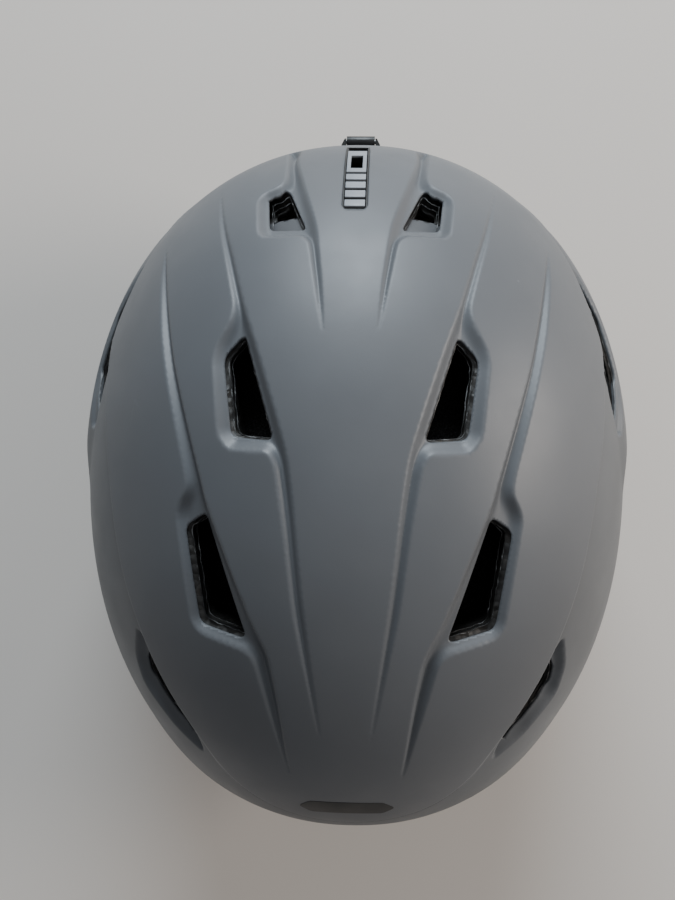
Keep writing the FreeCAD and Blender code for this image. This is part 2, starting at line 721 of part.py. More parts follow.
# ---------------------------------------------------------------- chin strap and buckle
def ribbon(name, path, thick, y, wide):
    """Webbing seen from the front: a path in XZ thickened evenly and swept across Y."""
    points = [Vector(x, 0, z) for x, z in path]
    normals = [(b - a).normalize().cross(Vector(0, 1, 0)) for a, b in zip(points, points[1:])]
    joints = [normals[0], *[(m + n).normalize() / (m + n).normalize().dot(n)
                            for m, n in zip(normals, normals[1:])], normals[-1]]
    top = [p + n * (thick / 2) for p, n in zip(points, joints)]
    bottom = [p - n * (thick / 2) for p, n in zip(points, joints)]
    lift = Vector(0, y - wide / 2, 0)
    return prism(name, [p + lift for p in (*top, *reversed(bottom))], Vector(0, wide, 0))


def strap_path(end):
    """Centre line from the joined side straps, through the ear pad's slit, to the buckle."""
    middle = dim("web_height") + dim("web_thick") / 2
    outside = ear_x(8.0, dim("ear_panel")) - 4.0
    return [(outside, 8.2), (ear_x(8, 16) - 3, 7.4), (62.0, middle), (end, middle)]


def build_chin_strap():
    """Chin strap of both sides, where the side straps join, its tail, keeper and pad."""
    y, wide, thick = dim("web_y"), dim("web_wide"), dim("web_thick")
    h, gap = dim("web_height"), dim("fit_gap")
    left = ribbon("chin_strap_left", strap_path(dim("tongue_end") + gap), thick, y, wide)
    keep("chin_strap_left", left)
    right_as_left = ribbon("chin_strap_right_source", strap_path(gap - dim("socket_end")), thick, y, wide)
    keep("chin_strap_right", mirrored("chin_strap_right", right_as_left))

    joint_box = box("joint_box", (60, 110), (y - wide / 2 - 1.4, y + wide / 2 + 1.4), (5.0, 11.4))
    panel = dim("ear_panel")
    joint = common("joint_block", joint_box, leaning_slab("joint_slab", (panel + 0.1, panel + 6.2),
                                                          (0.0, 20.0)))
    keep("strap_joint_left", cut_each("strap_joint_left", joint, [*side_straps.values(), left]))
    keep("strap_joint_right", mirrored("strap_joint_right", parts["strap_joint_left"]))

    tail_from = dim("tongue_end") + 1.0
    keep("strap_tail", box("strap_tail", (tail_from, tail_from + 22), (y - wide / 2, y + wide / 2),
                           (h + thick + 0.1, h + 2 * thick + 0.1)))
    band, loop = 1.2, 6.0
    outside = box("keeper_outside", (38, 38 + loop), (y - wide / 2 - band - 0.3, y + wide / 2 + band + 0.3),
                  (h - band - 0.3, h + 2 * thick + band + 0.4))
    inside = box("keeper_inside", (30, 60), (y - wide / 2 - 0.3, y + wide / 2 + 0.3),
                 (h - 0.3, h + 2 * thick + 0.4))
    keep("strap_keeper", cut("strap_keeper", outside, inside))

    pad_block = prism("chin_pad_block", [
        Vector(x, v, 0.0) for x, v in ((-62, y - 14), (-29, y - 14), (-29, y + 14), (-62, y + 14))],
        Vector(0, 0, 7.5), 5.0)
    sleeve = box("chin_pad_sleeve", (-70, -20), (y - wide / 2 - 0.4, y + wide / 2 + 0.4),
                 (h - 0.3, h + thick + 0.3))
    keep("chin_pad", cut("chin_pad", pad_block, sleeve))


def build_buckle():
    """Side-release buckle: socket, tongue and the tongue's two springy prongs."""
    y, half, tall = dim("web_y"), dim("buckle_half_wide"), dim("buckle_tall")
    wall, gap = dim("buckle_wall"), dim("fit_gap")
    end, mouth, tongue_end = dim("socket_end"), dim("socket_mouth"), dim("tongue_end")
    z = (0.0, tall)
    inner_z = (wall, tall - wall)
    deep = mouth - 20.0

    def plate(name, x, hw, zz, radius):
        return prism(name, [Vector(x[0], y - hw, zz[0]), Vector(x[1], y - hw, zz[0]),
                            Vector(x[1], y + hw, zz[0]), Vector(x[0], y + hw, zz[0])],
                     Vector(0, 0, zz[1] - zz[0]), radius)

    socket = plate("socket_block", (end, mouth), half, z, 2.5)
    room = box("socket_room", (deep, mouth + 1), (y - half + wall, y + half - wall), inner_z)
    windows = box("socket_windows", (deep + 1, deep + 9), (y - half - 1, y + half + 1), inner_z)
    bar_slot = box("socket_bar_slot", (end + 2.5, end + 6), (y - half + 3, y + half - 3), (-1, tall + 1))
    keep("buckle_socket", cut("buckle_socket", socket, fuse("socket_tools", room, windows, bar_slot)))

    block = plate("tongue_block", (mouth + gap, tongue_end), half, z, 2.5)
    slots = [box(f"tongue_slot_{i}", (mouth + 7 + 6 * i, mouth + 10 + 6 * i),
                 (y - half + 3, y + half - 3), (-1, tall + 1)) for i in (0, 1)]
    keel = box("tongue_keel", (deep + gap, mouth + 2), (y - 4.0, y + 4.0),
               (inner_z[0] + gap, inner_z[1] - gap))
    keep("buckle_tongue", cut("buckle_tongue", fuse("tongue_whole", block, keel),
                              fuse("tongue_slots", *slots)))

    arms = []
    arm_z = (inner_z[0] + gap, inner_z[1] - gap)
    for s in (-1, 1):
        root = half - wall - gap
        outline = [(mouth + gap - 0.1, root - 2.2), (mouth + gap - 0.1, root), (deep + 8, root),
                   (deep + 8, half - 0.3), (deep + 5, half - 0.3), (deep + 1.3, root - 2.0),
                   (deep + 1.3, root - 3.8), (deep + 6, root - 3.0)]
        points = [Vector(px, y + s * py, arm_z[0]) for px, py in outline]
        arms.append(prism(f"prong_{'a' if s < 0 else 'b'}", points, Vector(0, 0, arm_z[1] - arm_z[0])))
    keep("buckle_prongs", doc.addObject("Part::Compound", "buckle_prongs")).Links = arms


build_chin_strap()
build_buckle()


# ---------------------------------------------------------------- fit system
def gear_outline(teeth, module, backlash, tip_cut=0.0):
    """A spur gear with straight-sided teeth, thinned by the backlash."""
    pitch = module * teeth / 2
    root, tip = pitch - 1.25 * module, pitch + module - tip_cut
    flank = 20.0
    half_pitch = math.degrees((math.pi * module / 4 - backlash / 4) / pitch)
    points = []
    for i in range(teeth):
        centre = 360.0 * i / teeth
        for r, sign in ((root, -1), (tip, -1), (tip, 1), (root, 1)):
            lean = math.degrees((pitch - r) * math.tan(math.radians(flank)) / pitch)
            a = math.radians(centre + sign * (half_pitch + lean))
            points.append((r * math.sin(a), r * math.cos(a)))
    return points


def rack_outline(x0, x1, module, backlash, body):
    """A rack above its pitch line: teeth point down, and a tooth gap is centred on X = 0."""
    step = math.pi * module
    lean = math.tan(math.radians(20.0))
    tip, root = -module * 0.8, module * 1.25
    half = step / 4 - backlash / 4
    points = [(x1, root + body), (x0, root + body), (x0, root)]
    n0 = math.ceil((x0 + 1) / step - 0.5)
    n1 = math.floor((x1 - 1) / step - 0.5)
    for n in range(n0, n1 + 1):
        centre = (n + 0.5) * step
        for v, sign in ((root, -1), (tip, -1), (tip, 1), (root, 1)):
            points.append((centre + sign * (half + v * lean), v))
    points.append((x1, root))
    return points


def build_fit_system():
    """Dial-driven rack and pinion in a housing at the nape."""
    z0, half_x, half_z = dim("dial_height"), dim("housing_half_wide"), dim("housing_half_tall")
    front, deep, cover = dim("housing_front"), dim("housing_deep"), dim("cover_deep")
    module, teeth = dim("gear_module"), int(dim("pinion_teeth"))
    pitch, gear_wide = module * teeth / 2, dim("gear_wide")
    backlash = dim("gear_backlash")
    floor_y = front + 3.0
    gear_y = floor_y + 0.2
    body = 2.0
    rack_top = pitch + 1.25 * module + body
    back = Vector(0, 1, 0)

    # housing, with one channel for both racks, and its cover
    def slab(name, y, radius=4.0):
        corners = [(-half_x, z0 - half_z), (half_x, z0 - half_z), (half_x, z0 + half_z),
                   (-half_x, z0 + half_z)]
        return prism(name, [Vector(x, y[0], z) for x, z in corners], Vector(0, y[1] - y[0], 0), radius)

    channel = box("housing_channel", (-50, 50), (floor_y, front + deep + 1),
                  (z0 - rack_top - 0.2, z0 + rack_top + 0.2))
    screw_places = [(x, z0 + s * (half_z + rack_top) / 2) for x in (-half_x + 6, half_x - 6)
                    for s in (-1, 1)]
    holes = [rod(f"housing_screw_hole_{i}", Vector(x, front + 1, z), back, 0.85, 20)
             for i, (x, z) in enumerate(screw_places)]
    keep("dial_housing", cut("dial_housing", slab("housing_slab", (front, front + deep)),
                             fuse("housing_tools", channel, *holes)))
    cover_from = front + deep + 0.05
    shaft_hole = rod("cover_bore", Vector(0, front, z0), back, "$shaft_radius + $running_gap", 30)
    keep("dial_cover", cut("dial_cover", slab("cover_slab", (cover_from, cover_from + cover)),
                           fuse("cover_tools", shaft_hole, *holes)))
    heads = []
    for i, (x, z) in enumerate(screw_places):
        shank = rod(f"housing_shank_{i}", Vector(x, front + 1.2, z), back, 0.8,
                    cover_from + cover - front - 1.2)
        head = rod(f"housing_head_{i}", Vector(x, cover_from + cover, z), back, 1.5, 0.9)
        heads.append(fuse(f"housing_screw_{i}", shank, head))
    keep("housing_screws", doc.addObject("Part::Compound", "housing_screws")).Links = heads

    # pinion with its shaft, knob and screw turn together
    outline = [Vector(x, gear_y, z0 + z) for x, z in gear_outline(teeth, module, backlash)]
    gear = prism("pinion_gear", outline, Vector(0, gear_wide, 0))
    knob_from = cover_from + cover + 1.1
    stem = rod("pinion_stem", Vector(0, gear_y + gear_wide - 0.5, z0), back, "$shaft_radius",
               knob_from + 4.0 - gear_y - gear_wide + 0.5)
    screw_bore = rod("pinion_screw_bore", Vector(0, knob_from - 3, z0), back, 1.05, 30)
    keep("dial_pinion", cut("dial_pinion", fuse("pinion_whole", gear, stem), screw_bore))
    keep("dial_knob", build_knob(knob_from, z0))
    head_from = knob_from + dim("knob_deep") - 2.0
    keep("dial_screw", fuse(
        "dial_screw", rod("dial_screw_shank", Vector(0, knob_from - 2.8, z0), back, 1.0,
                          head_from - knob_from + 2.8),
        rod("dial_screw_head", Vector(0, head_from, z0), back, 2.6, 1.4)))

    # racks: the +X one meshes above the pinion and the -X one below it
    inner_end, outer_end = 16.0, half_x + 1.5
    upper = [Vector(x, gear_y, z0 + pitch + z) for x, z in
             rack_outline(-inner_end, outer_end, module, backlash, body)]
    lower = [Vector(-p.x, p.y, 2 * z0 - p.z) for p in upper]
    keep("rack_left", prism("rack_left", upper, Vector(0, gear_wide, 0)))
    keep("rack_right", prism("rack_right", lower, Vector(0, gear_wide, 0)))
    web_holes = build_headband(outer_end)
    build_cradle(z0, half_x, half_z, front, web_holes)


def build_knob(y0, z0):
    """A fluted knob made as a PartDesign body: pad, pockets round the edge, counterbored hole."""
    body = doc.addObject("PartDesign::Body", "dial_knob")
    planes = {f.Role: f for f in body.Origin.OriginFeatures}

    def circle_sketch(name, radius_expr, x=0.0):
        sk = body.newObject("Sketcher::SketchObject", name)
        sk.AttachmentSupport = (planes["XY_Plane"], [""])
        sk.MapMode = "FlatFace"
        sk.addGeometry(Part.Circle(Vector(x, 0, 0), Vector(0, 0, 1), 3.0), False)
        index = sk.addConstraint(Sketcher.Constraint("Radius", 0, 3.0))
        sk.setExpression(f"Constraints[{index}]", radius_expr.replace("$", "dims."))
        return sk

    disc = body.newObject("PartDesign::Pad", "knob_disc")
    disc.Profile = circle_sketch("knob_circle", "$knob_radius")
    bind(disc, Length="$knob_deep")
    doc.recompute()
    for name, radius, reach in (("knob_shaft_bore", "$shaft_radius + 0.03", 4.1),
                                ("knob_screw_bore", "1.1", 30.0)):
        bore = body.newObject("PartDesign::Pocket", name)
        bore.Profile = circle_sketch(f"{name}_circle", radius)
        bore.Length = reach
        bore.Reversed = True
        doc.recompute()
    well_sketch = circle_sketch("knob_well_circle", "2.8")
    well_sketch.AttachmentOffset = Placement(Vector(0, 0, dim("knob_deep")), Rotation())
    well = body.newObject("PartDesign::Pocket", "knob_well")
    well.Profile = well_sketch
    well.Length = 2.0
    doc.recompute()
    flute_sketch = circle_sketch("knob_flute_circle", "1.6", dim("knob_radius") + 0.7)
    flute = body.newObject("PartDesign::Pocket", "knob_flute")
    flute.Profile = flute_sketch
    flute.Length = dim("knob_deep") + 1
    flute.Reversed = True
    doc.recompute()
    pattern = body.newObject("PartDesign::PolarPattern", "knob_flutes")
    pattern.Originals = [flute]
    pattern.Axis = (flute_sketch, ["N_Axis"])
    pattern.Angle = 360.0
    pattern.Occurrences = 18
    body.Tip = pattern
    body.Placement = Placement(Vector(0, y0, z0), Rotation(Vector(1, 0, 0), -90))
    return body


def build_headband(rack_end):
    """Flexible bands from the temples to the racks, on a ring just inside the cavity."""
    end_x, end_y = rack_end + 0.3, dim("housing_front") + dim("band_back")
    end_drop = (dim("equator_height") - dim("dial_height")) / dim("cavity_drop")
    end_share = end_x / (dim("cavity_half_width") - dim("band_clear"))
    rear_reach = end_y / math.sqrt(1 - end_drop**2 - end_share**2)

    def ring(name, inset):
        return layer(name, inset, "$cavity_half_width", "$cavity_front", f"{rear_reach} + $band_clear",
                     "$cavity_rise", "$cavity_drop")

    wall = cut("band_wall", ring("band_outside", "$band_clear"),
               ring("band_inside", "$band_clear + $band_thick"))
    front_y, front_z = dim("temple_y"), dim("equator_height") - dim("temple_drop")
    rear_y, rear_z = 84.0, dim("dial_height")
    half = dim("band_tall") / 2
    slope = (rear_z - front_z) / (rear_y - front_y)
    far_y, far_z = 110.0, front_z + slope * (110.0 - front_y)
    slab = prism("band_slab", [Vector(end_x, front_y, front_z - half),
                               Vector(end_x, far_y, far_z - half),
                               Vector(end_x, far_y, far_z + half),
                               Vector(end_x, front_y, front_z + half)], Vector(100, 0, 0))
    plugs = plug_rods("liner_plug", "$plug_radius", 0.0)
    holes = plug_rods("band_plug_hole", "$plug_radius + 0.03", 1.0)
    keep("headband_left", cut("headband_left", common("band_strip", wall, slab), holes[1]))
    keep("headband_right", mirrored("headband_right", parts["headband_left"]))
    keep("liner_plugs", doc.addObject("Part::Compound", "liner_plugs")).Links = plugs
    return holes[2:]


def build_cradle(z0, half_x, half_z, front, holes):
    """Two webs that carry the housing from the liner's rear wall, and the nape cushion."""
    webs = []
    thick, wide = 1.6, 12.0
    near = front - 0.02
    wall = dim("cavity_rear") - 4.5
    for side, hole in zip((-1, 1), holes):
        x = side * WEB_X - wide / 2
        lean = [(near - thick, z0 - half_z + 3), (near, z0 - half_z + 3), (near, z0 + half_z + 2),
                (wall, WEB_TOP - 14), (wall, WEB_TOP), (wall - thick, WEB_TOP),
                (wall - thick, WEB_TOP - 14), (near - thick, z0 + half_z + 2)]
        web = prism(f"cradle_web_{side}", [Vector(x, y, z) for y, z in lean], Vector(wide, 0, 0))
        webs.append(cut(f"cradle_web_cut_{side}", web, hole))
    keep("cradle_webs", doc.addObject("Part::Compound", "cradle_webs")).Links = webs
    pad_back = near - thick - 0.03
    keep("nape_pad", prism("nape_pad", [
        Vector(x, pad_back - 6.3, z) for x, z in ((-half_x, 7), (half_x, 7), (half_x - 4, 34),
                                     (4 - half_x, 34))],
        Vector(0, 6.3, 0), 8.0))


build_fit_system()


# ---------------------------------------------------------------- check and write
def check():
    """Stops the script if an object failed or a sub-part is no valid solid."""
    doc.recompute()
    bad = [o.Name for o in doc.Objects if {"Invalid", "Error"} & set(o.State)]
    if bad:
        raise RuntimeError(f"these objects failed: {bad}")
    for node, obj in parts.items():
        shape = obj.Shape
        if shape.isNull() or not shape.isValid() or not shape.Solids:
            raise RuntimeError(f"{node} is not a valid solid")


def write():
    """One STEP file a node, and a line that says how many solids and how much it holds."""
    for old in os.listdir(OUT):
        if old.endswith(".step"):
            os.remove(os.path.join(OUT, old))
    for node, obj in parts.items():
        obj.Shape.exportStep(os.path.join(OUT, f"{node}.step"))
        print(f"{node:20s} solids {len(obj.Shape.Solids)} volume {obj.Shape.Volume:10.1f}")


check()
write()
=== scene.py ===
"""Ski helmet: the looks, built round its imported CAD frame. Lengths are in millimetres."""

import math
import random

import bmesh
import bpy
import numpy as np
from mathutils import Matrix, Vector, noise
from mathutils.geometry import delaunay_2d_cdt
from mathutils.kdtree import KDTree


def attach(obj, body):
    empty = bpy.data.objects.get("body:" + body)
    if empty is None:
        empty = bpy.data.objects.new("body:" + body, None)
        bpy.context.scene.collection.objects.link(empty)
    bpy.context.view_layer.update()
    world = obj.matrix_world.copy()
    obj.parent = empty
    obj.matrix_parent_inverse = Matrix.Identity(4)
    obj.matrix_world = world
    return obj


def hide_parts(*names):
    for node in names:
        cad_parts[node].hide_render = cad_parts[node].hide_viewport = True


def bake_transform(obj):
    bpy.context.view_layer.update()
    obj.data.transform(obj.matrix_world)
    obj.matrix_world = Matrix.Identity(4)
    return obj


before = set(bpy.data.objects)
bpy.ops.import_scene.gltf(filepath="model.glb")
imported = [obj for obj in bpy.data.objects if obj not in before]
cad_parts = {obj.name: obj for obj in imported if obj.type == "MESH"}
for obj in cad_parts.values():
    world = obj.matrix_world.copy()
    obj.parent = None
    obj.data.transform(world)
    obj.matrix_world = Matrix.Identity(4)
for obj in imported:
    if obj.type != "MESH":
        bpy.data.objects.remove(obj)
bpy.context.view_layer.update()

MM = 0.001
SIDES = (("left", 1), ("right", -1))
SLIDER_Y, SLIDER_Z, SLIDER_RADIUS = 19.66, 80.22, 127.6
EQUATOR = 98.0
SHELL_WALL = 1.7
LINER_GAP = 0.15
RIM_FRONT, RIM_SIDE, RIM_REAR = -9.0, -38.0, -62.0
RIM_POINTS = 900


# ---- curves and outlines
def smooth_step(x, low, high):
    k = np.clip((x - low) / (high - low), 0, 1)
    return k * k * (3 - 2 * k)


def unit(vectors):
    return vectors / np.maximum(np.linalg.norm(vectors, axis=-1, keepdims=True), 1e-12)


def resampled(points, step, closed=True):
    """Points at even spacing along a path."""
    p = np.asarray(points, float)
    if closed:
        p = np.vstack([p, p[:1]])
    along = np.concatenate([[0], np.cumsum(np.linalg.norm(np.diff(p, axis=0), axis=1))])
    count = max(4, int(round(along[-1] / step)))
    where = np.linspace(0, along[-1], count + 1)
    out = np.stack([np.interp(where, along, p[:, i]) for i in range(p.shape[1])], axis=1)
    return out[:-1] if closed else out


def rounded(points, radius, step=0.8):
    """A closed outline with its corners rounded and about step between points."""
    p = np.asarray(points, float)
    out = []
    for a, b, c in zip(np.roll(p, 1, 0), p, np.roll(p, -1, 0)):
        u, v = a - b, c - b
        long_u, long_v = np.linalg.norm(u), np.linalg.norm(v)
        r = min(radius, 0.42 * long_u, 0.42 * long_v)
        start, end = b + u / long_u * r, b + v / long_v * r
        for k in np.linspace(0, 1, max(3, int(r * 2 / step) + 1)):
            out.append((1 - k) ** 2 * start + 2 * k * (1 - k) * b + k**2 * end)
    return resampled(np.array(out), step)


def spline(points, step, closed=True):
    """A smooth curve through points."""
    p = np.asarray(points, float)
    if not closed:
        p = np.vstack([2 * p[0] - p[1], p, 2 * p[-1] - p[-2]])
    count = len(p)
    k = np.linspace(0, 1, 24, endpoint=False)[:, None]
    out = []
    for i in range(count if closed else count - 3):
        a, b, c, d = (p[(i + j - (1 if closed else 0)) % count] for j in range(4))
        out.append(0.5 * (2 * b + (c - a) * k + (2 * a - 5 * b + 4 * c - d) * k**2
                          + (3 * b - a - 3 * c + d) * k**3))
    if not closed:
        out.append(p[-2:-1])
    return resampled(np.vstack(out), step, closed)


def mirror_x(points):
    p = np.array(points, float)
    p[:, 0] *= -1
    return p[::-1]


def inset(outline, by):
    """A closed outline moved inwards."""
    p = np.asarray(outline, float)
    along = unit(np.roll(p, -1, 0) - np.roll(p, 1, 0))
    turn = np.sign(np.sum(p[:, 0] * np.roll(p[:, 1], -1) - p[:, 1] * np.roll(p[:, 0], -1)))
    return p + turn * by * np.stack([-along[:, 1], along[:, 0]], axis=1)


def inside(points, outline):
    """Which points lie in a closed outline."""
    box = (points > outline.min(0)).all(1) & (points < outline.max(0)).all(1)
    index = np.nonzero(box)[0]
    x, y = points[index].T
    hit = np.zeros(len(index), bool)
    for (x0, y0), (x1, y1) in zip(outline, np.roll(outline, -1, 0)):
        if y0 != y1:
            hit ^= ((y0 > y) != (y1 > y)) & (x < (x1 - x0) * (y - y0) / (y1 - y0) + x0)
    out = np.zeros(len(points), bool)
    out[index[hit]] = True
    return out


def nearest_in(path, points):
    """The number of the path's point nearest to each point."""
    tree = KDTree(len(path))
    for i, at in enumerate(path):
        tree.insert(at, i)
    tree.balance()
    return np.array([tree.find(at)[1] for at in points])


def tangents(p, closed):
    if closed:
        return unit(np.roll(p, -1, 0) - np.roll(p, 1, 0))
    return unit(np.gradient(p, axis=0))


def distance_to(points, path, closed=True):
    """Distance from each point to a polyline, in two or three dimensions."""
    if not len(points):
        return np.zeros(0)
    flat_path = np.zeros((len(path), 3))
    flat_path[:, :np.shape(path)[1]] = path
    p = np.zeros((len(points), 3))
    p[:, :points.shape[1]] = points
    nearest = nearest_in(flat_path, p)
    best = np.full(len(p), np.inf)
    last = len(flat_path) - 1
    for step in (-1, 1):
        other = (nearest + step) % len(flat_path) if closed else np.clip(nearest + step, 0, last)
        a, ab = flat_path[nearest], flat_path[other] - flat_path[nearest]
        k = np.clip(((p - a) * ab).sum(1) / np.maximum((ab**2).sum(1), 1e-12), 0, 1)
        best = np.minimum(best, np.linalg.norm(p - a - k[:, None] * ab, axis=1))
    return best


# ---- meshes
def grid_points(outer, lines, fine, coarse, band):
    """Points in a closed outline: finer near the lines."""
    def lattice(step):
        low, high = outer.min(0), outer.max(0)
        i, j = np.meshgrid(np.arange(int((high[0] - low[0]) / step) + 2),
                           np.arange(int((high[1] - low[1]) / (step * 0.866)) + 2))
        return low + np.stack([((i + 0.5 * (j % 2)) * step).ravel(), (j * step * 0.866).ravel()], axis=1)

    every = np.vstack([outer, *lines])
    dense, loose = lattice(fine), lattice(coarse)
    far = distance_to(dense, every)
    dense = dense[(far < band) & (far > fine * 0.6)]
    loose = loose[distance_to(loose, every) >= band]
    points = np.vstack([dense, loose])
    return points[inside(points, outer)]


def triangulate(outer, lines, near=(), fine=0.0052, coarse=0.015, band=0.045):
    """Points, triangles and each line's point numbers of a flat region."""
    points = grid_points(outer, [*lines, *near], fine, coarse, band)
    start = len(points)
    edges, spans = [], []
    for line in [outer, *lines]:
        count = len(line)
        edges += [(start + i, start + (i + 1) % count) for i in range(count)]
        spans.append(range(start, start + count))
        start += count
    everything = np.vstack([points, outer, *lines])
    result = delaunay_2d_cdt([Vector(p) for p in everything], edges, [], 0, 1e-7, True)
    verts = np.array([tuple(v) for v in result[0]])
    faces = np.array([f for f in result[2] if len(f) == 3])
    home = {old: new for new, olds in enumerate(result[3]) for old in olds}
    rings = [np.array([home[i] for i in span]) for span in spans]
    return verts, faces[inside(verts[faces].mean(1), outer)], rings


def averaged(values, faces, rounds):
    """Values of vertices, smoothed over their neighbours."""
    count = len(values)
    sides = np.vstack([faces[:, [0, 1]], faces[:, [1, 2]], faces[:, [2, 0]]])
    edges = np.unique(np.sort(sides, axis=1), axis=0)
    a, b = edges.T
    links = np.bincount(a, minlength=count) + np.bincount(b, minlength=count)
    for _ in range(rounds):
        total = np.bincount(a, values[b], count) + np.bincount(b, values[a], count)
        values = 0.5 * values + 0.5 * total / np.maximum(links, 1)
    return values


def loft(rows, wrap_rows=False, wrap_columns=True):
    """Points and quads of a grid of rows, each row joined to the next."""
    rows = np.asarray(rows, float)
    n, m = rows.shape[:2]
    a, b = np.meshgrid(np.arange(n if wrap_rows else n - 1), np.arange(m if wrap_columns else m - 1),
                       indexing="ij")
    c, d = (a + 1) % n, (b + 1) % m
    quads = np.stack([a * m + b, a * m + d, c * m + d, c * m + b], axis=-1)
    return rows.reshape(-1, 3), quads.reshape(-1, 4)


def tube(path, normals, radius, sides=8, closed=True):
    """Rows of a round bead along a path."""
    p = np.asarray(path, float)
    along = tangents(p, closed)
    n = unit(normals - (normals * along).sum(1, keepdims=True) * along)
    side = np.cross(along, n)
    angle = np.linspace(0, 2 * math.pi, sides, endpoint=False)[None, :, None]
    return p[:, None] + radius * (np.cos(angle) * side[:, None] + np.sin(angle) * n[:, None])


LINER_WELD, PIECE_WELD, CAD_WELD = 0.01, 0.02, 0.004


def welded(obj, distance):
    obj.modifiers.new("weld", "WELD").merge_threshold = distance * MM


def bevelled(obj, width, limit):
    """Rounds the edges sharper than limit, in degrees."""
    bevel = obj.modifiers.new("edges", "BEVEL")
    bevel.width = width * MM
    bevel.segments = 2
    bevel.limit_method = "ANGLE"
    bevel.angle_limit = math.radians(limit)


class Build:
    """Gathers points, faces and their materials into one mesh object."""

    def __init__(self):
        self.points, self.cloth, self.faces, self.slots = [], [], [], []

    def add(self, points, faces, material=0, cloth=None):
        """Adds faces; cloth gives each point's place on the cloth, in millimetres."""
        start = sum(len(p) for p in self.points)
        points = np.asarray(points, float)
        self.points.append(points)
        self.cloth.append(points if cloth is None else np.pad(cloth, ((0, 0), (0, 3 - np.shape(cloth)[1]))))
        self.faces += (np.asarray(faces) + start).tolist()
        self.slots += [material] * len(faces)
        return start

    def bead(self, path, normals, radius, material, closed=True, sides=8):
        rows = tube(path, normals, radius, sides, closed)
        start = self.add(*loft(rows, wrap_rows=closed), material)
        if not closed:
            self.cap(start, len(rows), sides, material)

    def cap(self, start, rows, columns, material=0):
        """Closes both ends of an open loft."""
        last = start + (rows - 1) * columns
        self.faces += [list(range(start, start + columns)), list(range(last, last + columns))]
        self.slots += [material] * 2

    def stitches(self, path, normals, material, pitch=3.2, long=2.1, radius=0.32, closed=True):
        """A run of thread: one small lozenge for each stitch."""
        p = resampled(path, pitch, closed)
        n = normals[nearest_in(path, p)]
        along = tangents(p, closed)
        side = np.cross(along, n)
        corners = [p + along * long / 2, p + side * radius, p + n * radius * 0.8, p - side * radius,
                   p - n * radius * 0.8, p - along * long / 2]
        faces = [(0, 1, 2), (0, 2, 3), (0, 3, 4), (0, 4, 1), (5, 2, 1), (5, 3, 2), (5, 4, 3), (5, 1, 4)]
        points = np.stack(corners, axis=1).reshape(-1, 3)
        self.add(points, [[6 * i + j for j in f] for i in range(len(p)) for f in faces], material)

    def finish(self, name, materials, body="helmet", slot=None, replaces=(), blend=None, smooth=True):
        """The mesh object. blend is (moving body, start, end): a piece given it is left unattached with its
        transform baked; its moving body, start and end are not used.
        """
        mesh = bpy.data.meshes.new(name)
        mesh.from_pydata((np.vstack(self.points) * MM).tolist(), [], self.faces)
        for material in materials:
            mesh.materials.append(material)
        mesh.polygons.foreach_set("material_index", self.slots)
        mesh.attributes.new("cloth", "FLOAT_VECTOR", "POINT").data.foreach_set(
            "vector", np.vstack(self.cloth).astype(np.float32).ravel())
        form = bmesh.new()
        form.from_mesh(mesh)
        bmesh.ops.recalc_face_normals(form, faces=form.faces)
        form.to_mesh(mesh)
        form.free()
        if smooth:
            mesh.shade_smooth()
        obj = bpy.data.objects.new(name, mesh)
        bpy.context.scene.collection.objects.link(obj)
        if body and not blend:
            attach(obj, body)
        if replaces:
            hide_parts(*replaces)
        if blend:
            moving, start, end = blend
            tuple(v * MM for v in start)
            tuple(v * MM for v in end)
            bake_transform(obj)
        return obj


# ---- the helmet's forms
class Dome:
    """A skin of four quarter ellipsoids, squared off a little in plan.

    Its points are given flat, as q: the angle down from the crown, in radians, laid out round the crown.
    """

    def __init__(self, half_width, front, rear, rise, drop, power):
        self.half_width, self.front, self.rear = half_width, front, rear
        self.rise, self.drop, self.power = rise, drop, power

    def roundness(self, phi):
        return (np.abs(np.cos(phi)) ** self.power + np.abs(np.sin(phi)) ** self.power) ** (-1 / self.power)

    def at(self, q):
        theta, phi = np.hypot(q[:, 0], q[:, 1]), np.arctan2(q[:, 1], q[:, 0])
        reach = np.where(q[:, 1] < 0, self.front, self.rear)
        height = np.where(theta < math.pi / 2, self.rise, self.drop)
        wide = self.roundness(phi) * np.sin(theta)
        return np.stack([self.half_width * wide * np.cos(phi), reach * wide * np.sin(phi),
                         EQUATOR + height * np.cos(theta)], axis=1)

    def normals(self, q, step=1e-4):
        across = self.at(q + [step, 0]) - self.at(q - [step, 0])
        along = self.at(q + [0, step]) - self.at(q - [0, step])
        return unit(np.cross(across, along))

    def below(self, q, depth):
        """Points at a depth under the skin."""
        return self.at(q) - self.normals(q) * np.asarray(depth)[:, None]

    def flat(self, plan, limit=1.0):
        """q of plan points on the upper half. Points further out than limit, a share of the edge, move in."""
        x, y = np.asarray(plan, float)[:, :2].T
        u, v = x / self.half_width, y / np.where(y < 0, self.front, self.rear)
        phi = np.arctan2(v, u)
        theta = np.arcsin(np.clip(np.hypot(u, v) / self.roundness(phi), 0, limit))
        return np.stack([theta * np.cos(phi), theta * np.sin(phi)], axis=1)

    def flat_at(self, pairs):
        """q of points given as an azimuth, in degrees from +X, and a height from the equator."""
        azimuth, z = np.asarray(pairs, float).T
        phi = np.radians(azimuth)
        theta = np.arccos(z / np.where(z > 0, self.rise, self.drop))
        return np.stack([theta * np.cos(phi), theta * np.sin(phi)], axis=1)

    def rim(self, lift=0.0):
        """q of the rim, anticlockwise from +X."""
        phi = np.linspace(0, 2 * math.pi, RIM_POINTS, endpoint=False)
        theta = np.full(RIM_POINTS, math.pi / 2 + 0.1)
        ring = np.stack([np.cos(phi), np.sin(phi)], axis=1)
        for _ in range(30):
            y = self.at(theta[:, None] * ring)[:, 1]
            wanted = np.arccos(np.clip((rim_height(y) + lift) / self.drop, -0.99, 0))
            theta = 0.5 * theta + 0.5 * wanted
        return theta[:, None] * ring


